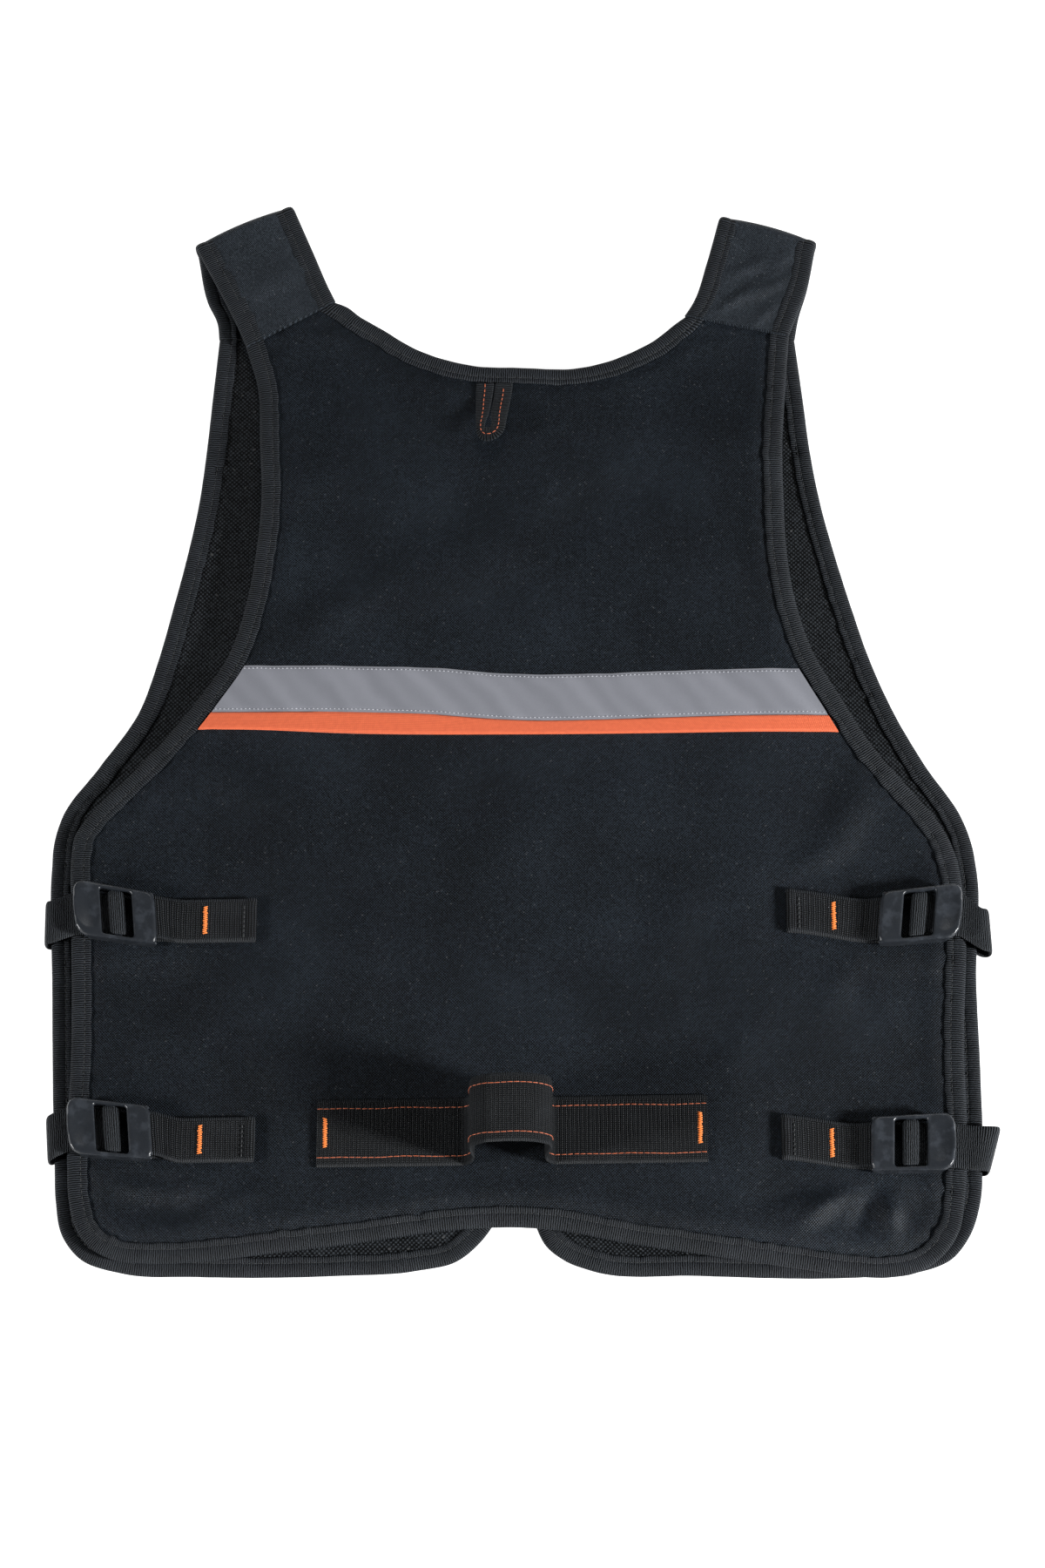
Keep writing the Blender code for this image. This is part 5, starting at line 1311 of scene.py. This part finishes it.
def make_tab(name, row):
    ground = SideSet(row)
    bar = row["buckle"] + LOW_BAR[0] * BUCKLE_LENGTH
    bar_above = BUCKLE_BASE + LOW_BAR[1] * BUCKLE_HEIGHT
    radius = BAR_RADIUS + CLEARANCE + WEBBING_WALL / 2
    lower = CLEARANCE + WEBBING_WALL / 2
    upper = lower + WEBBING_WALL + CLEARANCE
    end = row["tab_end"]
    fold = end - TAB_HEM
    turns = [math.radians(angle) for angle in (-90, -130, -180, -230, -270)]
    path = [(end, lower), (mix(end, bar, 0.5), lower), (bar + TAB_LEVEL, lower),
            (bar + 4 * radius, lower + radius / 5),
            *((bar + radius * math.cos(t), bar_above + radius * math.sin(t)) for t in turns),
            (bar + 2 * radius, bar_above + radius * 0.84),
            (bar + 4.4 * radius, upper + TAB_SWELL),
            (bar + TAB_LEVEL, upper), (mix(bar + TAB_LEVEL, fold, 0.5), upper - 0.1 * MM),
            (fold - 2 * MM, upper), (fold, upper + 0.1 * MM), (fold + 2 * MM, upper + 0.75 * MM),
            (end - 0.8 * MM, upper + 0.55 * MM), (end, upper - 0.3 * MM)]
    line = curve(path, WEBBING_STEP)
    line[:, 1] = ground.level(line[:, 0], line[:, 1])
    piece, length = ground.webbing("tab_weave_" + name, line, WEBBING, "buckle_tab_" + name)
    face = upper + WEBBING_WALL / 2
    tack = np.array(row["tack"])
    centre = ground.laid(tack, np.array(0.0), ground.level(tack, face - 0.1 * MM))
    thread = bar_tack("tab_tack_" + name, centre, TACK_LENGTH)
    beside = np.linspace(-WEBBING_WIDTH / 2 + 2 * MM, WEBBING_WIDTH / 2 - 2 * MM, 30)
    at = np.full_like(beside, fold - 1.0 * MM)
    row_points = ground.laid(at, beside, ground.level(at, face + 0.1 * MM))
    starts, ends = dashes(row_points, 2.0 * MM, 0.7 * MM)
    dark = stitches("tab_stitches_" + name, starts, ends, 0.35 * MM, DARK_THREAD)


def make_side_strap(name, row):
    ground = SideSet(row)
    half = WEBBING_WALL / 2
    over_edge = BINDING_STEP + CLEARANCE + half
    places = [row["buckle"] + along * BUCKLE_LENGTH for along, _ in STRAP_OVER_BAR]
    path = [(inwards, ground.level(inwards, BUCKLE_BASE + above * BUCKLE_HEIGHT))
            for inwards, (_, above) in zip(places, STRAP_OVER_BAR)]
    top = ground.level(0, over_edge)
    turn_at = -(ground.front + row["reach_down"] - half)
    corner = min(TURN_CORNER, (top - half) / 3)
    near = corner * 0.3
    path += [(BINDING_WIDTH, ground.level(0, over_edge + STRAP_BULGE)), (0.0, top),
             (turn_at + corner, top), (turn_at + near, top - near),
             (turn_at, top - corner), (turn_at, half + corner),
             (turn_at + near, half + near), (turn_at + corner, half),
             (UNDER_STRAP_LENGTH - ground.front, half)]
    line = curve(path, WEBBING_STEP)
    line[:, 1] = np.maximum(line[:, 1], half)
    near_turn = ease(1 - (line[:, 0] - turn_at - 1.0 * MM) / REACH_FADE)
    skew = (row["reach_up"] - row["reach_down"]) * near_turn
    piece, length = ground.webbing("side_webbing_" + name, line, SIDE_WEBBING,
                                   "side_strap_" + name, skew, flip=True)


# Buckles

# The buckle's rail from the side, in shares of its length and height
RAIL_SIDE = ((0.120, 0.600), (0.175, 0.034), (0.867, 0.000), (0.965, 0.182),
             (0.985, 0.700), (0.985, 0.860), (0.120, 0.860))
BUCKLE_HALF = 16.4 * MM
THUMB_CORNER = 7.5 * MM
INNER_CORNER = 5.0 * MM
WINDOW = (0.335, 0.720)      # the window's ends, as shares of the length
WINDOW_HALF = 13.4 * MM
WINDOW_CORNER = 1.6 * MM
EDGE_ROUND = 1.7 * MM
PLATE_UNDER = 0.64           # underside of the top plate, as a share of the height
THUMB_DISH = 1.9 * MM
THUMB_TILT = 2.0 * MM        # how far the thumb end stands up from the webbing
BEVEL = 0.5 * MM
PLATE_STEP = 0.8 * MM        # spacing of the plate's points


def rounded(points, radii, steps, pull=0.0, limit=1.0):
    """Corners of an outline rounded, each by its radius, with pull cutting them shorter."""
    points = np.asarray(points, float)
    rows = []
    for index, (here, radius) in enumerate(zip(points, radii)):
        if radius == 0:
            rows.append(here)
            continue
        others = points[index - 1], points[(index + 1) % len(points)]
        start, end = (here + unit(other - here) * min(radius, np.linalg.norm(other - here) * limit)
                      for other in others)
        corner = mix(here, (start + end) / 2, pull)
        rows += [(1 - t) ** 2 * start + 2 * t * (1 - t) * corner + t ** 2 * end
                 for t in np.linspace(0, 1, steps + 1)]
    return np.array(rows)


def extruded(outline, places, inset):
    """Rows of an outline at places across the buckle, drawn in at its two faces."""
    centre = outline.mean(0)
    rings = []
    for place, amount in zip(places, inset):
        pulled = outline + unit(centre - outline) * amount
        rings.append(np.stack([pulled[:, 0], np.full(len(outline), place), pulled[:, 1]], 1))
    rings = np.array(rings)
    outside = np.abs(rings[..., 1]) > WINDOW_HALF + BEVEL
    rings[..., 1] *= np.where(outside, 0.985 - 0.065 * rings[..., 0] / BUCKLE_LENGTH, 1.0)
    return rings.reshape(-1, 3), ring_faces(*rings.shape[:2])


def buckle_plate():
    """The top plate with its window, dished at the thumb end and rounded at its rim."""
    half = BUCKLE_HALF
    length = BUCKLE_LENGTH
    corners = (((0.024 * length, -half), (0.992 * length, -half * 0.925),
                (0.992 * length, half * 0.925), (0.024 * length, half), (0.006 * length, 0.0)),
               [(end * length, side * WINDOW_HALF)
                for end, side in zip((*WINDOW, *WINDOW[::-1]), (-1, -1, 1, 1))])
    radii = ((THUMB_CORNER, INNER_CORNER, INNER_CORNER, THUMB_CORNER, 0), (WINDOW_CORNER,) * 4)
    loops = []
    for points, rounds in zip(corners, radii):
        rows = rounded(points, rounds, 8, pull=0.08)
        loops.append(even(np.concatenate([rows, rows[:1]]), PLATE_STEP)[:-1])
    grid = np.meshgrid(np.arange(-PLATE_STEP, length + PLATE_STEP, PLATE_STEP),
                       np.arange(-half, half, PLATE_STEP))
    xy, tri = triangles(loops, *grid, PLATE_STEP * 0.45, 1e-8)
    near, distance = nearest(np.concatenate(loops), xy)
    on_rim = near < len(loops[0])
    u, v = xy[:, 0], xy[:, 1]
    top = BUCKLE_HEIGHT * (1.0 - 0.03 * (v / half) ** 2)
    for chosen, reach in ((on_rim, EDGE_ROUND), (~on_rim, 0.7 * MM)):
        past = np.clip(1 - np.where(chosen, distance, 1.0) / reach, 0, 1)
        top = top - reach * (1 - np.sqrt(1 - past ** 2))
    cone = np.clip(1 - np.hypot((u - 0.185 * length) / (0.165 * length), v / (12.0 * MM)), 0, 1)
    top = top - THUMB_DISH * cone * (1 - 0.35 * cone) * 1.3
    flat = np.hypot((u - 0.855 * length) / (0.10 * length), v / (11.0 * MM))
    top = top - 0.35 * MM * ease(1 - flat)
    return two_faced(xy, tri, top, np.full(len(u), BUCKLE_HEIGHT * PLATE_UNDER))


def buckle_mesh():
    """Plate, rails, centre bar and low bar, as solids that make_buckle melts into one."""
    half = BUCKLE_HALF
    inner = WINDOW_HALF
    size = np.array((BUCKLE_LENGTH, BUCKLE_HEIGHT))
    solids = [buckle_plate()]
    rail = rounded(RAIL_SIDE * size, [1.4 * MM] * len(RAIL_SIDE), 4, limit=0.45)
    places = np.array((inner, inner + BEVEL * 0.35, inner + BEVEL, half - BEVEL,
                       half - BEVEL * 0.35, half))
    insets = (BEVEL, BEVEL * 0.3, 0, 0, BEVEL * 0.3, BEVEL)
    for sign in (-1, 1):
        solids.append(extruded(rail, sign * places, insets))
    turns = np.linspace(0, 2 * math.pi, 16, endpoint=False)
    centre = rounded(BUCKLE_CENTRE_BAR * size, [0.6 * MM] * len(BUCKLE_CENTRE_BAR), 4, limit=0.45)
    bar = LOW_BAR * size + BAR_RADIUS * np.stack([np.cos(turns), np.sin(turns)], 1)
    wide = np.linspace(-inner - 0.8 * MM, inner + 0.8 * MM, 9)
    for outline in (centre, bar):
        solids.append(extruded(outline, wide, np.zeros(len(wide))))
    vertices = []
    faces = []
    for points, part in solids:
        faces += [[len(vertices) + index for index in face] for face in part]
        vertices += points.tolist()
    return np.array(vertices), faces


def make_buckle(name, row, shape, faces):
    ground = SideSet(row)
    inwards = row["buckle"] + shape[:, 0]
    tilt = THUMB_TILT * np.clip(0.5 - shape[:, 0] / BUCKLE_LENGTH, 0, 0.5) * 2
    height = ground.level(inwards, BUCKLE_BASE + shape[:, 2] + tilt)
    shear = row["shear"] * (ground.pivot - inwards)
    points = ground.place(inwards, shape[:, 1], height, 1.0, shear)
    piece = add_piece("buckle_body_" + name, points, faces, PLASTIC, None, 0)
    remesh = piece.modifiers.new("melt", "REMESH")
    remesh.mode = "VOXEL"
    remesh.voxel_size = 0.36 * MM
    smooth = piece.modifiers.new("soften", "SMOOTH")
    smooth.factor = 0.5
    smooth.iterations = 6
    bpy.context.view_layer.update()
    graph = bpy.context.evaluated_depsgraph_get()
    done = bpy.data.meshes.new_from_object(piece.evaluated_get(graph))
    piece.modifiers.clear()
    piece.data = done
    done.shade_smooth()
    settle(piece, ("buckle_" + name,))
    if not done.materials:
        done.materials.append(PLASTIC)


# Floor, lights and camera

def make_floor():
    mesh = bpy.data.meshes.new("floor")
    size = 6.0
    mesh.from_pydata([(-size, -size, 0), (size, -size, 0), (size, size, 0), (-size, size, 0)],
                     [], [(0, 1, 2, 3)])
    finish = Finish("pale_floor", (0.55, 0.55, 0.55), 0.9)
    finish.set(finish.shader.inputs["Emission Color"], (1.0, 1.0, 1.0))
    finish.set(finish.shader.inputs["Emission Strength"], 0.92)
    soft = finish.noise(finish.place(), 0.002)
    colour = finish.mixed(soft, (0.54, 0.54, 0.54), (0.56, 0.56, 0.56))
    mesh.materials.append(finish.finished(colour))
    floor = bpy.data.objects.new("floor", mesh)
    floor.location.z = -0.05 * MM
    bpy.context.scene.collection.objects.link(floor)


def add_area(name, place, target, width, height, power, colour=(1, 1, 1)):
    light = bpy.data.lights.new(name, "AREA")
    light.shape = "RECTANGLE"
    light.size = width
    light.size_y = height
    light.energy = power
    light.color = colour
    lamp = bpy.data.objects.new(name, light)
    lamp.location = place
    lamp.rotation_euler = (Vector(target) - Vector(place)).to_track_quat("-Z", "Y").to_euler()
    bpy.context.scene.collection.objects.link(lamp)


def light_scene():
    world = bpy.data.worlds.new("studio")
    world.use_nodes = True
    world.node_tree.nodes["Background"].inputs[0].default_value = (1.0, 1.0, 1.0, 1.0)
    world.node_tree.nodes["Background"].inputs[1].default_value = 0.06
    bpy.context.scene.world = world
    middle = (0.0, -0.04, 0.0)
    add_area("left_softbox", (-3.2, -1.1, 1.35), middle, 0.55, 0.65, 128)
    add_area("right_softbox", (3.2, -1.25, 1.40), middle, 0.50, 0.60, 284)
    add_area("back_fill", (0.3, 2.6, 2.4), middle, 1.4, 1.0, 14)
    bpy.context.scene.view_settings.view_transform = "Standard"
    bpy.context.scene.view_settings.look = "None"


def add_camera():
    tilt = math.radians(22)
    distance = 2.3
    target = Vector((0.00239, -0.0389, 0.0))
    camera = bpy.data.cameras.new("camera")
    camera.lens = 93.88
    camera.sensor_width = 36.0
    camera.clip_end = 20.0
    eye = bpy.data.objects.new("camera", camera)
    eye.location = target + Vector((0, -math.sin(tilt), math.cos(tilt))) * distance
    eye.rotation_euler = (tilt, 0, 0)
    bpy.context.scene.collection.objects.link(eye)
    bpy.context.scene.camera = eye


def dress():
    add_camera()
    make_floor()
    light_scene()
    for side in ("left", "right"):
        make_front(side)
    body = make_back()
    make_bands(body)
    for side in ("left", "right"):
        make_strap(side)
    make_closure()
    make_hang_loop()
    make_tool_webbing()
    shape, faces = buckle_mesh()
    for name, row in SETS.items():
        make_tab(name, row)
        make_side_strap(name, row)
        make_buckle(name, row, shape, faces)


dress()
